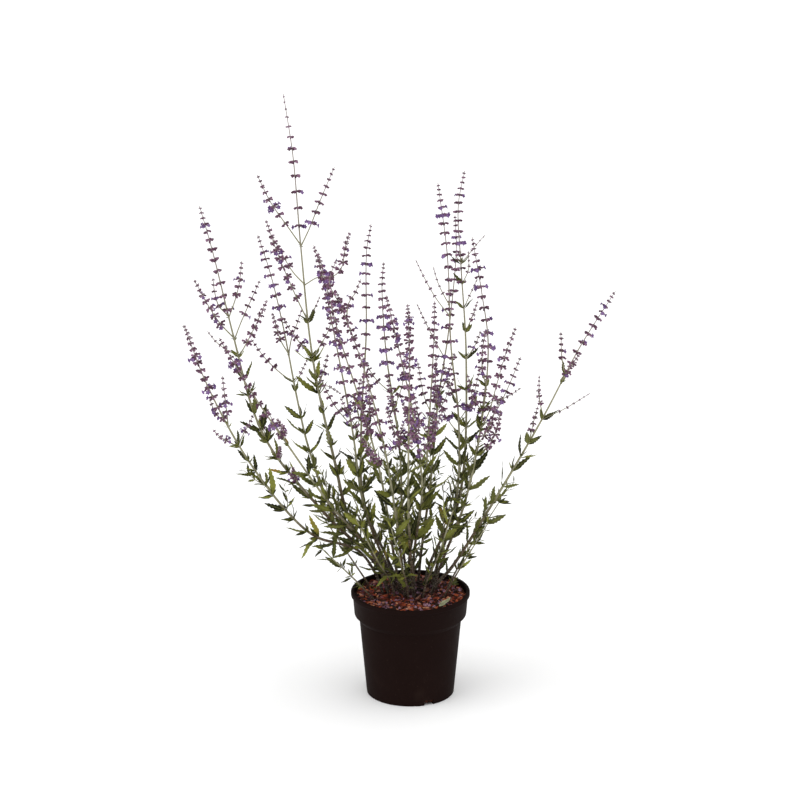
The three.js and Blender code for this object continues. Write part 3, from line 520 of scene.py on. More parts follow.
# Shed flower: mauve that has dulled to brown in patches.
def makeShedFinish():
    f = Finish("shedFlower", {"Specular IOR Level": 0.1})
    length, _, pick = f.grain()
    body = f.ramp(pick * 0.6 + f.noise(160.0) * 0.4, [(0.2, (84, 52, 60)), (0.5, (130, 94, 114)),
                                                      (0.85, (180, 146, 166))])
    body = f.mix(f.fade(length, 0.7, 1.0) * 0.3, body, (104, 72, 82))
    return f.done(body, f.noise(400.0) * 0.15 + 0.76, f.noise(900.0, 2.0), 0.0002, 0.5)


# Shed leaf: dull grey-green with drier patches, its midrib and veins browner.
def makeDryFinish():
    f = Finish("shedLeaf", {"Specular IOR Level": 0.25})
    length, across = f.grain()[:2]
    body = f.ramp(f.noise(120.0, 4.0), [(0.3, (120, 122, 94)), (0.6, (164, 168, 134)), (0.8, (186, 184, 150))])
    rib, veins = f.veins(length, across, 0.4)
    body = f.mix(f.math("MAXIMUM", rib * 0.6, veins), body, (128, 122, 92))
    return f.done(body, f.noise(200.0) * 0.2 + 0.68, rib + veins + f.noise(600.0) * 0.5, 0.0005, 0.7)


leafFinish, stalkFinish = makeLeafFinish(), makeStalkFinish()
calyxFinish, petalFinish = makeCalyxFinish(), makePetalFinish()
plantFinishes = [stalkFinish, leafFinish, calyxFinish, petalFinish]
stalkSlot, leafSlot, calyxSlot, petalSlot = range(4)
print("finishes ready")


stalkShape = {"pace": 7.0, "flats": 0.93, "corners": 1.1}


# A ring of corners carried along the stalk, centre + radius * (first * cos + second * sin); where there are eight
# they are alternately at the rounded corners and on the flats of a square.
def addStalk(bundle, stalk, start, end, radiusAt, ageAt, sides=8):
    rows = max(3, int((end - start) / stalkShape["pace"]))
    s = np.linspace(start, end, rows)
    along, first, second = stalk.axes(s)
    angle = (2 * np.pi * np.arange(sides) / sides + np.pi / 4)[:, None]
    square = np.resize([stalkShape["corners"], stalkShape["flats"]], sides) if sides == 8 else np.ones(sides)
    radius = radiusAt(s)[:, None] * square
    ring = first[:, None] * np.cos(angle) + second[:, None] * np.sin(angle)
    points = (stalk.at(s)[:, None] + ring * radius[..., None]).reshape(-1, 3)
    poles = np.stack([stalk.at(start), stalk.at(end) + along[-1] * radiusAt(s)[-1]])
    age = ringed(ageAt(s), sides, *ageAt(s[[0, -1]]))
    bundle.add(np.vstack([points, poles])[None], tubeFaces(rows, sides), stalkSlot, age)


# Stations along a blade and its half width there; between tooth tips the edge falls back.
blades = {
    "toothed": {"stations": [0.08, 0.17, 0.27, 0.37, 0.43, 0.51, 0.57, 0.66, 0.72, 0.81, 0.86, 0.93],
                "widths": [0.08, 0.46, 0.76, 1.04, 0.76, 1.04, 0.66, 0.92, 0.52, 0.68, 0.34, 0.27], "columns": 5},
    "notched": {"stations": [0.12, 0.38, 0.48, 0.68, 0.78], "widths": [0.34, 1.0, 0.76, 0.84, 0.52], "columns": 3},
    "plain": {"stations": [0.1, 0.4, 0.72], "widths": [0.3, 1.0, 0.66], "columns": 3}}


# The blade as two sheets that share their outline, a pole at the root and one at the tip: per point the
# length share u, the place across v, the half width w and the face it lies on.
def bladeTemplate(shape):
    u, w = np.array(shape["stations"]), np.array(shape["widths"])
    columns, rows = shape["columns"], len(u)
    v = np.linspace(-1, 1, columns)
    top = np.stack([np.repeat(u, columns), np.tile(v, rows), np.repeat(w, columns),
                    np.tile(np.where(np.abs(v) == 1, 0, 1), rows)], axis=1)
    under = np.stack([u, np.zeros(rows), w, -np.ones(rows)], axis=1)
    points = np.vstack([top, under, [[0, 0, 0, 0], [1, 0, 0, 0]]])
    mid, root, tip = rows * columns, rows * columns + rows, rows * columns + rows + 1
    i, j = np.meshgrid(np.arange(rows - 1), np.arange(columns - 1), indexing="ij")
    at = lambda r, k: r * columns + k
    quads = [np.stack([at(i, j), at(i + 1, j), at(i + 1, j + 1), at(i, j + 1)], axis=-1).reshape(-1, 4)]
    r = np.arange(rows - 1)
    quads += [np.stack([at(r, 0), mid + r, mid + r + 1, at(r + 1, 0)], axis=-1),
              np.stack([mid + r, at(r, columns - 1), at(r + 1, columns - 1), mid + r + 1], axis=-1)]
    k = np.arange(columns - 1)
    far = at(rows - 1, 0)
    tris = [np.stack([np.full(columns - 1, root), k, k + 1], axis=-1),
            np.stack([far + k, np.full(columns - 1, tip), far + k + 1], axis=-1),
            np.array([[root, mid, 0], [root, columns - 1, mid],
                      [far, mid + rows - 1, tip], [mid + rows - 1, far + columns - 1, tip]])]
    return points, (np.concatenate(quads), np.concatenate(tris))


bladeTemplates = {kind: bladeTemplate(shape) for kind, shape in blades.items()}
bladeForm = {"arch": 0.16, "fold": 0.17, "thick": 0.4, "ripple": 0.07, "curl": 0.3}


# Each point of each blade: root + out * u L + side * v w W / 2 + face * (arch L u^2 + fold |v| w W / 2
# + ripple W |v| sin(9 u + phase) + thickness on its own sheet).
def addBlades(bundle, leaves, kind):
    points, faces = bladeTemplates[kind]
    u, v, w, sheet = points.T[:, None]
    length, width, pick, arch, turn = (np.atleast_1d(leaves[key])[:, None]
                                       for key in ("length", "width", "pick", "arch", "turn"))
    across = v * w * width / 2
    lift = (arch * length * u ** 2 + bladeForm["fold"] * np.abs(across)
            + bladeForm["ripple"] * width * np.abs(v) * np.sin(9 * u + 40 * pick)
            + sheet * bladeForm["thick"] * 0.5 * (1 - u ** 4))
    ways = leaves["out"], leaves["side"], np.cross(leaves["out"], leaves["side"])
    spots = spotsAt(leaves["root"], ways, (u * length, across + turn * u * width * bladeForm["curl"], lift))
    return bundle.add(spots, faces, leafSlot, u, v, pick * 0.998 + (sheet < 0))


# Blades that leave a stalk at distance s, turned by an angle round it, leaning from it and rolled about their own
# length, with their length, width, draw, arch and sideways turn.
def leaning(stalk, s, angle, lean, roll, **looks):
    along, outward = stalk.axes(s)[0], stalk.outward(s, angle)
    out = along * np.cos(lean)[:, None] + outward * np.sin(lean)[:, None]
    level = unit(np.cross(along, outward))
    side = level * np.cos(roll)[:, None] + np.cross(out, level) * np.sin(roll)[:, None]
    return {"root": stalk.at(s), "out": out, "side": side, **looks}


# Blades placed one by one, a row each: x, y and z of the root, way it points, angle from upright, length and width.
def placed(rows, pick, arch, turn):
    rows = np.array(rows, dtype=float).reshape(-1, 7)
    way, tilt = np.radians(rows[:, 3]), np.radians(rows[:, 4])
    return {"root": rows[:, :3], "out": polar(np.sin(tilt), way, np.cos(tilt)), "side": polar(1, way + np.pi / 2, 0),
            "length": rows[:, 5], "width": rows[:, 6], "pick": pick, "arch": arch, "turn": turn}


leafRule = {"pitch": 28.0, "length": 43.0, "width": 10.5, "lean": 50.0, "leanSpread": 22.0, "turnSpread": 0.8,
            "rollSpread": 1.7, "smallest": 0.62, "spread": 0.5, "pitchSpread": 0.3}
twigLeafRule = {"pitch": 12.0, "length": 18.0, "width": 4.8, "lean": 48.0, "leanSpread": 34.0, "turnSpread": 1.2,
                "rollSpread": 2.0, "smallest": 0.7, "spread": 0.6, "pitchSpread": 0.3}


# Up to the height top a leaf has this share of its size; above it the share grows by 1 over this much height.
lowRule = {"share": 0.58, "top": 190.0, "over": 150.0}


# Opposite pairs at every pitch, each pair a quarter turn on, sized, turned and rolled by the draw.
def leafPairs(stalk, start, end, seed, scale, turn=45, rule=leafRule):
    order = np.arange(2 * max(1, int((end - start) / rule["pitch"])))
    j, k = np.divmod(order, 2)
    s = start + rule["pitch"] * (j + rule["pitchSpread"] * drawOf(seed, j))
    angle = np.pi / 2 * (seed + j + turn / 90) + np.pi * k + rule["turnSpread"] * (drawOf(seed + 3, order) - 0.5)
    lean = np.radians(rule["lean"] + rule["leanSpread"] * (drawOf(seed + 5, order) - 0.5))
    roll = rule["rollSpread"] * (drawOf(seed + 11, order) - 0.5)
    size = scale * (rule["smallest"] + rule["spread"] * drawOf(seed + 9, order))
    grown = lowRule["share"] + (stalk.at(s)[:, 2] - lowRule["top"]) / lowRule["over"]
    size = size * np.clip(grown, lowRule["share"], 1)
    leaves = leaning(stalk, s, angle, lean, roll, length=rule["length"] * size, width=rule["width"] * size,
                     pick=drawOf(seed + 13, order), arch=bladeForm["arch"], turn=drawOf(seed + 17, order) - 0.5)
    return leaves, s, angle


tuftRule = {"count": 4, "shortest": 9.0, "longest": 23.0, "slim": 0.22, "bottom": 236.0, "lean": 26.0,
            "leanSpread": 44.0, "fan": 2.0, "roll": 2.4}


# Small narrow leaves in each axil: a few per site, fanned to both sides of the leaf above which they stand.
def axilTufts(stalk, s, angle, seed, count, scale=1.0):
    site, i = np.divmod(np.arange(len(s) * count), count)
    order = site * 7 + i
    turn = angle[site] + tuftRule["fan"] * (i / max(1, count - 1) - 0.5) + 0.5 * (drawOf(seed + 21, order) - 0.5)
    lean = np.radians(tuftRule["lean"] + tuftRule["leanSpread"] * drawOf(seed + 23, order))
    size = tuftRule["shortest"] + (tuftRule["longest"] - tuftRule["shortest"]) * drawOf(seed + 25, order) ** 1.5
    return leaning(stalk, s[site] + 1.5 + 2.5 * drawOf(seed + 27, order), turn, lean,
                   tuftRule["roll"] * (drawOf(seed + 37, order) - 0.5), length=scale * size,
                   width=scale * size * (tuftRule["slim"] + 0.08 * drawOf(seed + 29, order)),
                   pick=drawOf(seed + 31, order) * 0.95, arch=0.2 * (drawOf(seed + 33, order) - 0.3),
                   turn=drawOf(seed + 35, order) - 0.5)


# A short shoot that leaves a stalk at an angle and bends up along it.
def sidePath(stalk, s, angle, lean, length):
    start, along, outward = stalk.at(s), stalk.axes(s)[0], stalk.outward(s, angle)
    out, end = (along * math.cos(part) + outward * math.sin(part) for part in (lean, lean * 0.55))
    bend = start + out * length * 0.45
    return Stalk([start, bend, bend + end * length * 0.55])


twigRule = {"shortest": 30.0, "longest": 66.0, "lean": 38.0, "leanSpread": 24.0, "foot": 0.9, "tip": 0.4,
            "bottom": 234.0, "top": 368.0, "age": 0.36}


# Leafy twigs from some of the lower axils, with small pairs up to their tip.
def addTwigs(bundle, stalk, s, angle, seed, share):
    height = stalk.at(s)[:, 2]
    chosen = (height > twigRule["bottom"]) & (height < twigRule["top"])
    for i in np.flatnonzero(chosen & (drawOf(seed + 41, np.arange(len(s))) < share)):
        own = 50 * seed + int(i)
        length = twigRule["shortest"] + (twigRule["longest"] - twigRule["shortest"]) * drawOf(own, 1)
        lean = math.radians(twigRule["lean"] + twigRule["leanSpread"] * (drawOf(own, 2) - 0.5))
        twig = sidePath(stalk, s[i] + 1, angle[i] + 0.9 * (drawOf(own, 3) - 0.5), lean, length)
        radiusAt = lambda d: np.interp(d, (0, twig.length), (twigRule["foot"], twigRule["tip"]))
        addStalk(bundle, twig, 0, twig.length, radiusAt, lambda d: np.full(len(d), twigRule["age"]), sides=5)
        leaves = leafPairs(twig, 7.0, twig.length, own, 0.85 + 0.3 * drawOf(own, 5), 45, twigLeafRule)[0]
        addBlades(bundle, leaves, "notched")
        addBlades(bundle, axilTufts(twig, np.full(2, twig.length - 1.5), np.array([0, np.pi]), own, 2, 0.7), "plain")


spikeRule = {"first": 4.0, "step": 6.0, "growth": 1.3, "longest": 24.0, "least": 30.0, "reach": 8.0, "open": 0.1,
             "smallest": 0.3, "fullAt": 80.0, "tipRadius": 0.55, "blooming": 0.16, "single": 0.035, "spray": 1.3,
             "calyces": 8, "long": 6, "shorter": 0.78, "tiny": 0.22, "opensFrom": 0.6}

# Rings of a calyx: share of its reach and radius in millimetres; the poles are its root and its dark mouth.
calyx = {"sides": 6, "share": [0.08, 0.34, 0.66, 1.0], "radius": [0.48, 1.1, 1.62, 1.6], "mouth": 0.8, "lip": 0.14}
# Rings of a corolla: way ahead and radius in millimetres, depth of the lobes and the two values of its pattern;
# root and throat are how far ahead its poles lie.
corolla = {"sides": 10, "ahead": [0.0, 3.4, 4.8, 3.6], "radius": [0.7, 1.25, 3.6, 0.75], "lobe": [0, 0, 0.3, 0],
           "out": [0, 0.45, 1, 0.3], "inner": [0.9, 0.9, 0.6, 0], "root": -0.6, "throat": 2.9, "wide": 1.18}


# Calyces as six-sided cups: reach * share outwards, rising and then nodding by 0.5 share - 0.6 share^2.
def addCalyces(bundle, origin, ways, reach, size, pick):
    rows, sides = len(calyx["share"]), calyx["sides"]
    turn, t = cornerTurns(rows, sides), ringed(calyx["share"], sides, 0.0, calyx["mouth"])
    ahead = reach[:, None] * (t * (1 + calyx["lip"] * np.sin(turn) * (t == 1.0)))
    rise = reach[:, None] * (0.5 * t - 0.6 * t ** 2)
    wide = size[:, None] * ringed(calyx["radius"], sides)
    spots = spotsAt(origin, ways, (ahead, wide * -np.cos(turn), rise + wide * np.sin(turn)))
    bundle.add(spots, tubeFaces(rows, sides), calyxSlot, t, 0, pick[:, None])


# Corollas: a short tube that spreads into five lobes, their edge at radius * (1 + lobe cos(5 turn)), the upper
# ones standing up and the lower one hanging forward.
def addCorollas(bundle, origin, ways, size, pick):
    rows, sides = len(corolla["ahead"]), corolla["sides"]
    turn, edge = cornerTurns(rows, sides, np.pi / 2), ringed(np.arange(rows) == 2, sides)
    lobes = 1 + ringed(corolla["lobe"], sides) * np.cos(5 * (turn - np.pi / 2) + np.pi)
    r = ringed(corolla["radius"], sides) * lobes
    x = ringed(corolla["ahead"], sides, corolla["root"], corolla["throat"]) + edge * (0.5 - 0.9 * np.sin(turn))
    y, z = -r * np.cos(turn) * np.where(edge, corolla["wide"], 1.0), r * np.sin(turn)
    share, inner = ringed(corolla["out"], sides), ringed(corolla["inner"], sides, 0.9)
    spots = spotsAt(origin, ways, [size[:, None] * part for part in (x, y, z)])
    bundle.add(spots, tubeFaces(rows, sides), petalSlot, share, inner, pick[:, None])


# Distances of a spike's whorls from its tip, and which of them stand at least the least step apart.
def whorlSteps(reach, spread):
    steps, kept = [], []
    distance, last, m = spikeRule["first"], None, 0
    while distance < reach:
        keep = last is None or distance - last >= spikeRule["least"]
        steps.append(distance)
        kept.append(keep)
        last = distance if keep else last
        distance += spread * min(spikeRule["longest"], spikeRule["step"] + spikeRule["growth"] * m)
        m += 1
    return np.array(steps), np.array(kept, dtype=bool)


# One spike: its slim axis, six calyces to a whorl with two shorter ones between them, and corollas where the
# draw says that a flower is open.
def addSpike(bundle, stalk, start, flowersFrom, spread, seed, rootRadius, budTip=0.0, grown=1.0):
    radiusAt = lambda s: np.interp(s, (start, stalk.length), (rootRadius, spikeRule["tipRadius"]))
    ageAt = lambda s: 0.6 + 0.4 * np.interp(s, (start, stalk.length), (0, 1)) ** 0.7
    addStalk(bundle, stalk, start, stalk.length, radiusAt, ageAt, sides=6)
    steps, kept = whorlSteps(stalk.length - flowersFrom, spread)
    if not len(steps):
        return
    s = stalk.length - steps
    order = np.zeros(len(s), int)
    order[kept] = np.arange(kept.sum())[::-1]
    phase = np.where(kept, (order % 2) * np.pi / 3, drawOf(seed + 51, np.arange(len(s))) * np.pi / 3)
    size = grown * np.clip(spikeRule["smallest"] + (steps - budTip) / spikeRule["fullAt"], spikeRule["tiny"], 1)
    w, i = np.divmod(np.arange(len(s) * spikeRule["calyces"]), spikeRule["calyces"])
    between = i >= spikeRule["long"]
    angle = phase[w] + (i + 1) * np.pi / 3 + 0.22 * (drawOf(seed + 63 + w, i + 9) - 0.5)
    angle = np.where(between, 2 * np.pi * drawOf(seed + 87 + w, i), angle)
    often = np.where(drawOf(seed + 83, w) < spikeRule["blooming"], 0.6, spikeRule["single"])
    opened = np.where(kept[w] & (i % 2 == 0) & ~between, drawOf(seed + 7 * order[w], i // 2) < spikeRule["open"],
                      drawOf(seed + 61 + w, i) < often) & (size[w] > spikeRule["opensFrom"])
    place = s[w] + 1.9 * (drawOf(seed + 67 + w, i) - 0.5)
    origin, along, outward = stalk.at(place), stalk.axes(place)[0], stalk.outward(place, angle)
    ways = outward, np.cross(along, outward), along
    reach = spikeRule["reach"] * size[w] * (0.66 + 0.44 * drawOf(seed + 71 + w, i))
    reach = reach * np.where(between, spikeRule["shorter"], 1)
    addCalyces(bundle, origin, ways, reach, size[w] ** 0.75, drawOf(seed + 73 + w, i))
    if opened.any():
        mouth = origin + outward * (reach * 0.93)[:, None] - along * (reach * 0.08)[:, None]
        addCorollas(bundle, mouth[opened], [way[opened] for way in ways], 0.85 * size[w][opened] + 0.1,
                    drawOf(seed + 79 + w, i)[opened])


plantRule = {"lowestLeaf": 198.0, "lowestShootLeaf": 188.0, "panicleRadius": 1.6, "spikeRadius": 1.1,
             "shootTip": 0.8, "shootThick": 1.8, "shootSeed": 31, "foot": 0.3, "ageFrom": 25.0,
             "outerStems": ("01", "02", "03", "04", "05", "18"), "outerTwigs": 0.18, "twigs": 0.4}
bractRule = {"length": 24.0, "width": 7.0, "lean": (58.0, 48.0), "leanSpread": 16.0, "roll": 1.4, "arch": 0.08}
# Side spikes in the middle of the plant: the first leaves its stem below the split, each next one a pace higher,
# a turn further round and shorter.
sideRule = {"stems": ("06", "08", "09", "10", "11", "12", "13", "14", "15", "17"), "count": 3, "below": 30.0,
            "pace": 26.0, "turn": 2.4, "lean": 30.0, "leanSpread": 12.0, "length": 96.0, "shrink": 14.0,
            "lengthSpread": 20.0, "flowersFrom": 0.24, "spread": 1.15, "radius": 0.9, "bracts": 0.8}


# Leaves under a spray where it leaves its stalk: one below it, one across from it, smaller than the stem's.
def sprayBracts(parent, s, spray, seed, scale):
    first, second = parent.axes(s)[1:]
    way = unit(spray.at(18.0) - spray.at(0.0))
    two, place = np.arange(2), np.full(2, s - 1.5)
    turns = math.atan2(way @ second, way @ first) + np.pi * two + 0.5 * (drawOf(seed, two + 1) - 0.5)
    lean = np.radians(bractRule["lean"] + bractRule["leanSpread"] * (drawOf(seed + 2, two) - 0.5))
    size = scale * (0.75 + 0.5 * drawOf(seed + 4, two))
    leaves = leaning(parent, place, turns, lean, bractRule["roll"] * (drawOf(seed + 10, two) - 0.5),
                     length=bractRule["length"] * size, width=bractRule["width"] * size,
                     pick=drawOf(seed + 6, two), arch=bractRule["arch"], turn=drawOf(seed + 8, two) - 0.5)
    return leaves, place, turns


# Single broad leaves low in front and at the left, by stem or shoot.
lowLeaves = {"1": [(-36, -33, 207, 200, 118, 24, 12), (-37, -36, 211, 252, 84, 20, 8)],
             "2": [(-9, -51, 213, 176, 80, 28, 12), (-9, -52, 215, -4, 76, 21, 11)],
             "01": [(-149, -19, 269, 204, 134, 42, 14)]}
lowLeafLook = {"pick": 0.88, "arch": -0.12, "turn": 0.2}


for order, (name, stem) in enumerate(stems.items()):
    stalk = Stalk(stem["path"])
    splitAt = stalk.reach(stem["split"])
    radiusAt = lambda s: np.interp(s, (0, splitAt), (stem["thick"], plantRule["panicleRadius"]))
    ageAt = lambda s: np.interp(s, (plantRule["ageFrom"], splitAt), (0, 0.62))
    low, high = Bundle(), Bundle()
    addStalk(low, stalk, plantRule["foot"], splitAt, radiusAt, ageAt)
    leafFrom = stalk.reach(plantRule["lowestLeaf"])
    leaves, sites, angles = leafPairs(stalk, leafFrom, splitAt - 6, order + 1, 1, stem.get("turn", 45))
    addBlades(low, leaves, "toothed")
    addBlades(low, placed(lowLeaves.get(name, []), **lowLeafLook), "toothed")
    addTwigs(low, stalk, sites, angles, order + 1,
             plantRule["outerTwigs" if name in plantRule["outerStems"] else "twigs"])
    above = stalk.at(sites)[:, 2] > tuftRule["bottom"]
    tufts = stem.get("tufts", tuftRule["count"])
    addBlades(low, axilTufts(stalk, sites[above], angles[above], order + 1, tufts), "plain")
    addSpike(high, stalk, splitAt - 0.4, stalk.reach(stem["flowers"]), stem.get("spread", 1), 100 * order,
             plantRule["panicleRadius"], stem.get("bud", 0))
    for i, (height, path, *bud) in enumerate(sprays.get(name, [])):
        s = stalk.reach(height)
        spray = Stalk([stalk.at(s)] + path)
        part = low if height < stem["split"] else high
        seed, grown = 100 * order + 10 * (i + 1), bud[0] if bud else 1.0
        addSpike(part, spray, 0.0, min(30.0, spray.length * 0.3), spikeRule["spray"], seed,
                 plantRule["spikeRadius"] * (0.5 + 0.5 * grown), grown=grown)
        scale = np.clip((stem.get("leafyTo", stem["split"] + 10) + 40 - height) / 60, 0.22, 1)
        bracts, places, turns = sprayBracts(stalk, s, spray, seed, scale)
        addBlades(part, bracts, "toothed")
        addBlades(part, axilTufts(stalk, places, turns, seed, 2, 0.7 * scale), "plain")
    for i in range(sideRule["count"] if name in sideRule["stems"] else 0):
        seed = 1000 + 100 * order + 10 * i
        s = splitAt - sideRule["below"] + sideRule["pace"] * i + 10 * drawOf(seed, 1)
        lean = math.radians(sideRule["lean"] + sideRule["leanSpread"] * drawOf(seed, 3))
        length = sideRule["length"] - sideRule["shrink"] * i + sideRule["lengthSpread"] * drawOf(seed, 4)
        side = sidePath(stalk, s, sideRule["turn"] * i + order + 0.6 * drawOf(seed, 2), lean, length)
        part = low if s < splitAt else high
        addSpike(part, side, 0.0, side.length * sideRule["flowersFrom"], sideRule["spread"], seed, sideRule["radius"])
        addBlades(part, sprayBracts(stalk, s, side, seed, sideRule["bracts"])[0], "toothed")
    low.build("stem_leaves_" + name, plantFinishes, "green_leaf", ["leafy_stem_" + name])
    high.build("flower_spikes_" + name, plantFinishes, "lilac_flower", ["flower_panicle_" + name])
print("flowering stems ready")

for order, path in enumerate(shoots):
    name, seed = str(order + 1), order + plantRule["shootSeed"]
    stalk, bundle = Stalk(path), Bundle()
    radiusAt = lambda s: np.interp(s, (0, stalk.length), (plantRule["shootThick"], plantRule["shootTip"]))
    ageAt = lambda s: np.interp(s, (plantRule["ageFrom"], stalk.length), (0.1, 0.6))
    addStalk(bundle, stalk, plantRule["foot"], stalk.length, radiusAt, ageAt)
    leaves, sites, angles = leafPairs(stalk, stalk.reach(plantRule["lowestShootLeaf"]), stalk.length, seed, 0.9)
    addBlades(bundle, leaves, "toothed")
    addBlades(bundle, axilTufts(stalk, sites, angles, seed, 2), "plain")
    addBlades(bundle, placed(lowLeaves.get(name, []), **lowLeafLook), "toothed")
    tip = np.full(4, stalk.length - 2.0)
    addBlades(bundle, axilTufts(stalk, tip, np.arange(4) * np.pi / 2, seed + 3, 2, 1.1), "plain")
    bundle.build("shoot_leaves_" + name, plantFinishes, "green_leaf", ["leafy_shoot_" + name])
print("leafy shoots ready")


pot = {"sides": 128, "slots": 3, "slotTurn": -65, "slotWidth": 16, "slotHeight": 8.5, "slotDepth": 7, "base": 70,
       "slotInward": 9, "crease": 28}
# Outline in millimetres from the middle of the underside, up the outside and down the inside.
potOutline = [(0, 0), (66, 0), (69.2, 0.2), (70, 1.2), (81.3, 123), (81.5, 125), (82.6, 126.4), (89.0, 133.4),
              (89.5, 134.6), (91.9, 163), (92.4, 163.9), (94.3, 164.8), (95, 165.8), (95, 170.6), (94.6, 171.6),
              (93.6, 172), (90.6, 172), (89.7, 171.4), (89.4, 169.5), (87.1, 135), (79.1, 126), (67.6, 3), (0, 3)]


# The outline turned about the upright axis, with its end points as poles, less a box through the wall for each
# drain slot.
def makePot():
    outline = np.array(potOutline, dtype=float)
    rings, sides = outline[1:-1], pot["sides"]
    height = ringed(rings[:, 1], sides, outline[0, 1], outline[-1, 1])
    points = polar(ringed(rings[:, 0], sides), cornerTurns(len(rings), sides), height)
    wall = Bundle().add(points[None], tubeFaces(len(rings), sides))
    piece = wall.build("pot_moulded", [makePlasticFinish()], "pot_plastic", ["pot"], crease=pot["crease"])
    corners = np.array([[x, y, z] for x in (-0.5, 0.5) for y in (-0.5, 0.5) for z in (-1, 1)], dtype=float)
    x, y, z = (corners * [pot["slotDepth"], pot["slotWidth"], pot["slotHeight"]] + [pot["base"] + 1, 0, 0]).T
    x[:4] -= pot["slotInward"]
    turn = np.radians(pot["slotTurn"] + 360 / pot["slots"] * np.arange(pot["slots"]))[:, None]
    boxes = np.stack([x * np.cos(turn) - y * np.sin(turn), x * np.sin(turn) + y * np.cos(turn),
                      z + 0 * turn], axis=-1)
    faces = np.array([[0, 1, 3, 2], [4, 6, 7, 5], [0, 4, 5, 1], [2, 3, 7, 6], [0, 2, 6, 4], [1, 5, 7, 3]])
    faces = (faces + 8 * np.arange(pot["slots"])[:, None, None]).reshape(-1, 4)
    mesh = bpy.data.meshes.new("slotCutters")
    mesh.from_pydata((boxes.reshape(-1, 3) * mm).tolist(), [], faces.tolist())
    cutter = linked("slotCutters", mesh)
    cut = piece.modifiers.new("slots", "BOOLEAN")
    cut.operation, cut.solver, cut.object = "DIFFERENCE", "EXACT", cutter
    bpy.context.view_layer.update()
    piece.data = bpy.data.meshes.new_from_object(piece.evaluated_get(bpy.context.evaluated_depsgraph_get()))
    piece.modifiers.clear()
    bpy.data.objects.remove(cutter)
    piece.data.set_sharp_from_angle(angle=math.radians(pot["crease"]))


makePot()
print("pot ready")


soil = {"height": 172.0, "drop": 9.0, "mound": 3.0, "lump": 2.2, "rim": 95.0, "edge": 88.3, "rings": 36,
        "sides": 120, "crumb": 1.1, "seed": 20, "walls": ((66.8, 3.3), (78.5, 127.0))}


# Height of the surface: a low mound with two slow waves across it.
def soilHeight(x, y):
    radius = np.hypot(x, y) / soil["rim"]
    lumps = np.sin(x * 0.21 + 1.3) * np.cos(y * 0.19) + 0.6 * np.sin(x * 0.11 - y * 0.16 + 2.1)
    return soil["height"] - soil["drop"] + soil["mound"] * (1 - radius ** 2) + soil["lump"] * 0.5 * lumps


# Crumbly bed: rings out to the wall at the surface's height plus a few quick waves, then down inside the walls.
def makeBed():
    rows, sides = soil["rings"] + len(soil["walls"]), soil["sides"]
    radii, heights = np.array(soil["walls"]).T
    share = np.linspace(0.02, 1, soil["rings"])[::-1] ** 0.8
    place = polar(ringed(np.append(radii, soil["edge"] * share), sides), cornerTurns(rows, sides), 0)
    x, y, z = place.T
    quick = (np.sin(x * 1.1 + 0.7 * np.cos(y * 0.8)) * np.sin(y * 1.3 + 0.9 * np.sin(x * 0.6))
             + 0.5 * np.sin(x * 2.3 + y * 1.9) * np.cos(y * 2.1 - x * 0.7))
    z[:] = soilHeight(x, y) + soil["crumb"] * quick
    z[:len(radii) * sides], z[-2] = np.repeat(heights, sides), heights[0]
    bed = Bundle().add(place[None], tubeFaces(rows, sides))
    bed.build("compost_bed", [makeSoilFinish()], "bark_compost", ["compost"])


# Places spread evenly over the compost inside the wall, on its surface.
def scatter(rng, count, edge):
    r, a = edge * np.sqrt(rng.random(count)), 2 * np.pi * rng.random(count)
    x, y = r * np.cos(a), r * np.sin(a)
    return np.stack([x, y, soilHeight(x, y)], axis=1)


# Random upright turns with a tilt: three directions square to each other for each copy.
def tumbled(rng, count, tilt):
    turn, lean, way = 2 * np.pi * rng.random(count), tilt * (rng.random(count) - 0.5), 2 * np.pi * rng.random(count)
    face, ahead = unit(polar(np.sin(lean), way, np.cos(lean))), polar(1, turn, 0)
    ahead = unit(ahead - face * np.sum(ahead * face, axis=1, keepdims=True))
    return ahead, np.cross(face, ahead), face


chips = {"count": 900, "edge": 85.5, "sides": 6, "share": [0.06, 0.5, 0.94], "radius": [0.7, 1.0, 0.7],
         "shortest": 4.0, "lengthSpread": 11.0, "narrowest": 1.1, "widthSpread": 2.0, "thinnest": 0.5,
         "thickSpread": 0.8, "uneven": 0.45, "tilt": 1.1, "bend": 0.25, "crease": 35}


# Chips: three uneven rings of six corners along a splinter, length * t, width and thickness scaled by a draw.
def makeChips():
    rng = np.random.default_rng(soil["seed"])
    count, sides = chips["count"], chips["sides"]
    turn = cornerTurns(3, sides)
    t, r = ringed(chips["share"], sides, 0, 1), ringed(chips["radius"], sides)
    rough = 1 + chips["uneven"] * (rng.random((count, len(t))) - 0.5)
    length = (chips["shortest"] + chips["lengthSpread"] * rng.random(count) ** 1.6)[:, None]
    width = (chips["narrowest"] + chips["widthSpread"] * rng.random(count))[:, None]
    thick = (chips["thinnest"] + chips["thickSpread"] * rng.random(count))[:, None]
    ways = tumbled(rng, count, chips["tilt"])
    bend = (rng.random(count) - 0.5)[:, None] * chips["bend"]
    aside = r * np.cos(turn) * width * rough + bend * length * (t - 0.5) ** 2
    spots = spotsAt(scatter(rng, count, chips["edge"]), ways,
                    ((t - 0.5) * length * rough, aside, r * np.sin(turn) * thick * rough))
    spots[..., 2] += (0.4 + 1.6 * rng.random(count))[:, None]
    splinters = Bundle().add(spots, tubeFaces(3, sides), pick=rng.random(count)[:, None])
    splinters.build("bark_chips", [makeChipFinish()], "bark_compost", crease=chips["crease"])


shed = {"count": 120, "edge": 84, "lift": 2.0, "tilt": 1.4, "calyx": 0.6, "corolla": 0.45, "sizeSpread": 0.3,
        "reach": 6.0}


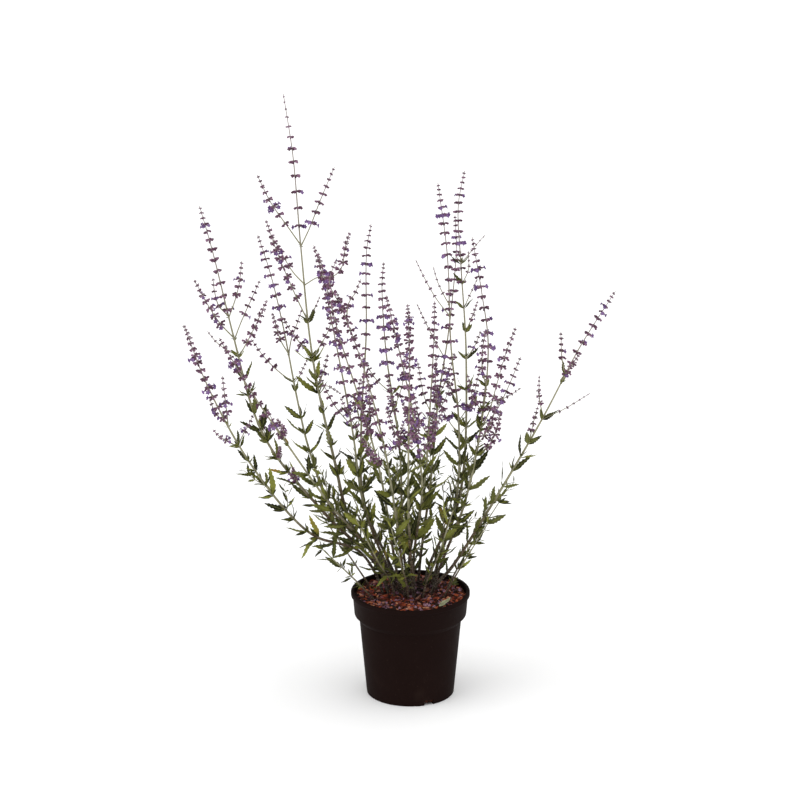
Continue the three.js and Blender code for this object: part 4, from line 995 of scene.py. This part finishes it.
# Shed flowers: loose calyces and corollas lying among the chips.
def makeShedFlowers():
    rng = np.random.default_rng(soil["seed"] + 1)
    bundle = Bundle()
    for kind in ("calyx", "corolla"):
        ways = tumbled(rng, shed["count"], shed["tilt"])
        origin = scatter(rng, shed["count"], shed["edge"]) + ways[2] * shed["lift"]
        size, pick = shed[kind] + shed["sizeSpread"] * rng.random(shed["count"]), rng.random(shed["count"])
        if kind == "calyx":
            addCalyces(bundle, origin, ways, shed["reach"] * size, size, pick)
        else:
            addCorollas(bundle, origin, ways, size, pick)
    finish = makeShedFinish()
    bundle.build("shed_flowers", [stalkFinish, leafFinish, finish, finish], "lilac_flower")


# Small green leaves lying on the compost: x, y, way they point, length and width.
litter = [(-58, 4, 60, 10, 4), (-52, 12, 150, 12, 4.5), (-61, 17, -20, 9, 3.5), (-47, 24, 100, 11, 4),
          (-40, 8, 20, 9, 3.5), (-66, 26, 40, 10, 4), (62, 34, 38, 28, 10), (36, 58, 160, 14, 5)]
litterRule = {"lift": 3.4, "tilt": math.degrees(math.atan(1 / 0.12)), "arch": -0.14, "turn": 0.4}


def makeLitter():
    rows = [(x, y, soilHeight(x, y) + litterRule["lift"], way, litterRule["tilt"], length, width)
            for x, y, way, length, width in litter]
    leaves = placed(rows, 0.3 + 0.5 * drawOf(7, np.arange(len(rows))), litterRule["arch"], litterRule["turn"])
    addBlades(Bundle(), leaves, "toothed").build("leaf_litter", [stalkFinish, leafFinish], "green_leaf")


makeBed()
makeChips()
makeShedFlowers()
makeLitter()
print("compost ready")

fallen = {"x": 44, "y": -62, "way": 40, "length": 27, "width": 12, "sink": 0.6}


# The shed leaf lies where the solid one does, just under the top of its box.
def makeFallenLeaf():
    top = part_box("fallen_leaf")[1][2] / mm
    row = (fallen["x"], fallen["y"], top - fallen["sink"], fallen["way"], 90, fallen["length"], fallen["width"])
    leaf = addBlades(Bundle(), placed([row], 0.4, 0.3, 0.6), "toothed")
    leaf.build("shed_leaf", [stalkFinish, makeDryFinish()], "dry_leaf", ["fallen_leaf"])


makeFallenLeaf()
print("shed leaf ready")


def makeStage():
    mesh = bpy.data.meshes.new("floor")
    mesh.from_pydata([(-90, -90, 0), (90, -90, 0), (90, 90, 0), (-90, 90, 0)], [], [(0, 1, 2, 3)])
    paper = Finish("paperFloor", {"Base Color": (0.96, 0.96, 0.96, 1), "Roughness": 0.9, "Specular IOR Level": 0.1})
    mesh.materials.append(paper.material)
    linked("floor", mesh)
    world = bpy.context.scene.world or bpy.data.worlds.new("sky")
    bpy.context.scene.world = world
    world.use_nodes = True
    tree = world.node_tree
    sky, backdrop = tree.nodes["Background"], tree.nodes.new("ShaderNodeBackground")
    for shader, strength in ((sky, light["sky"]), (backdrop, light["backdrop"])):
        shader.inputs["Color"].default_value = (1, 1, 1, 1)
        shader.inputs["Strength"].default_value = strength
    choice, rays = tree.nodes.new("ShaderNodeMixShader"), tree.nodes.new("ShaderNodeLightPath")
    tree.links.new(rays.outputs["Is Camera Ray"], choice.inputs[0])  # beyond the floor the picture stays pale
    tree.links.new(sky.outputs[0], choice.inputs[1])
    tree.links.new(backdrop.outputs[0], choice.inputs[2])
    tree.links.new(choice.outputs[0], tree.nodes["World Output"].inputs["Surface"])
    for name in ("top", "key"):
        strength, disc, tilt, turn = light[name]
        lamp = bpy.data.lights.new(name, "SUN")
        lamp.energy, lamp.angle = strength, math.radians(disc)
        linked(name, lamp).rotation_euler = (math.radians(tilt), 0, math.radians(turn))
    lens = bpy.data.cameras.new("camera")
    lens.lens, lens.sensor_width, lens.clip_end = camera["lens"], 36, 400
    eye = linked("camera", lens)
    eye.location, eye.rotation_euler = camera["place"], (math.radians(camera["tilt"]), 0, 0)
    bpy.context.scene.camera = eye
    bpy.context.scene.view_settings.view_transform = "Standard"


makeStage()
print("stage ready,", sum(len(mesh.polygons) for mesh in bpy.data.meshes), "faces")
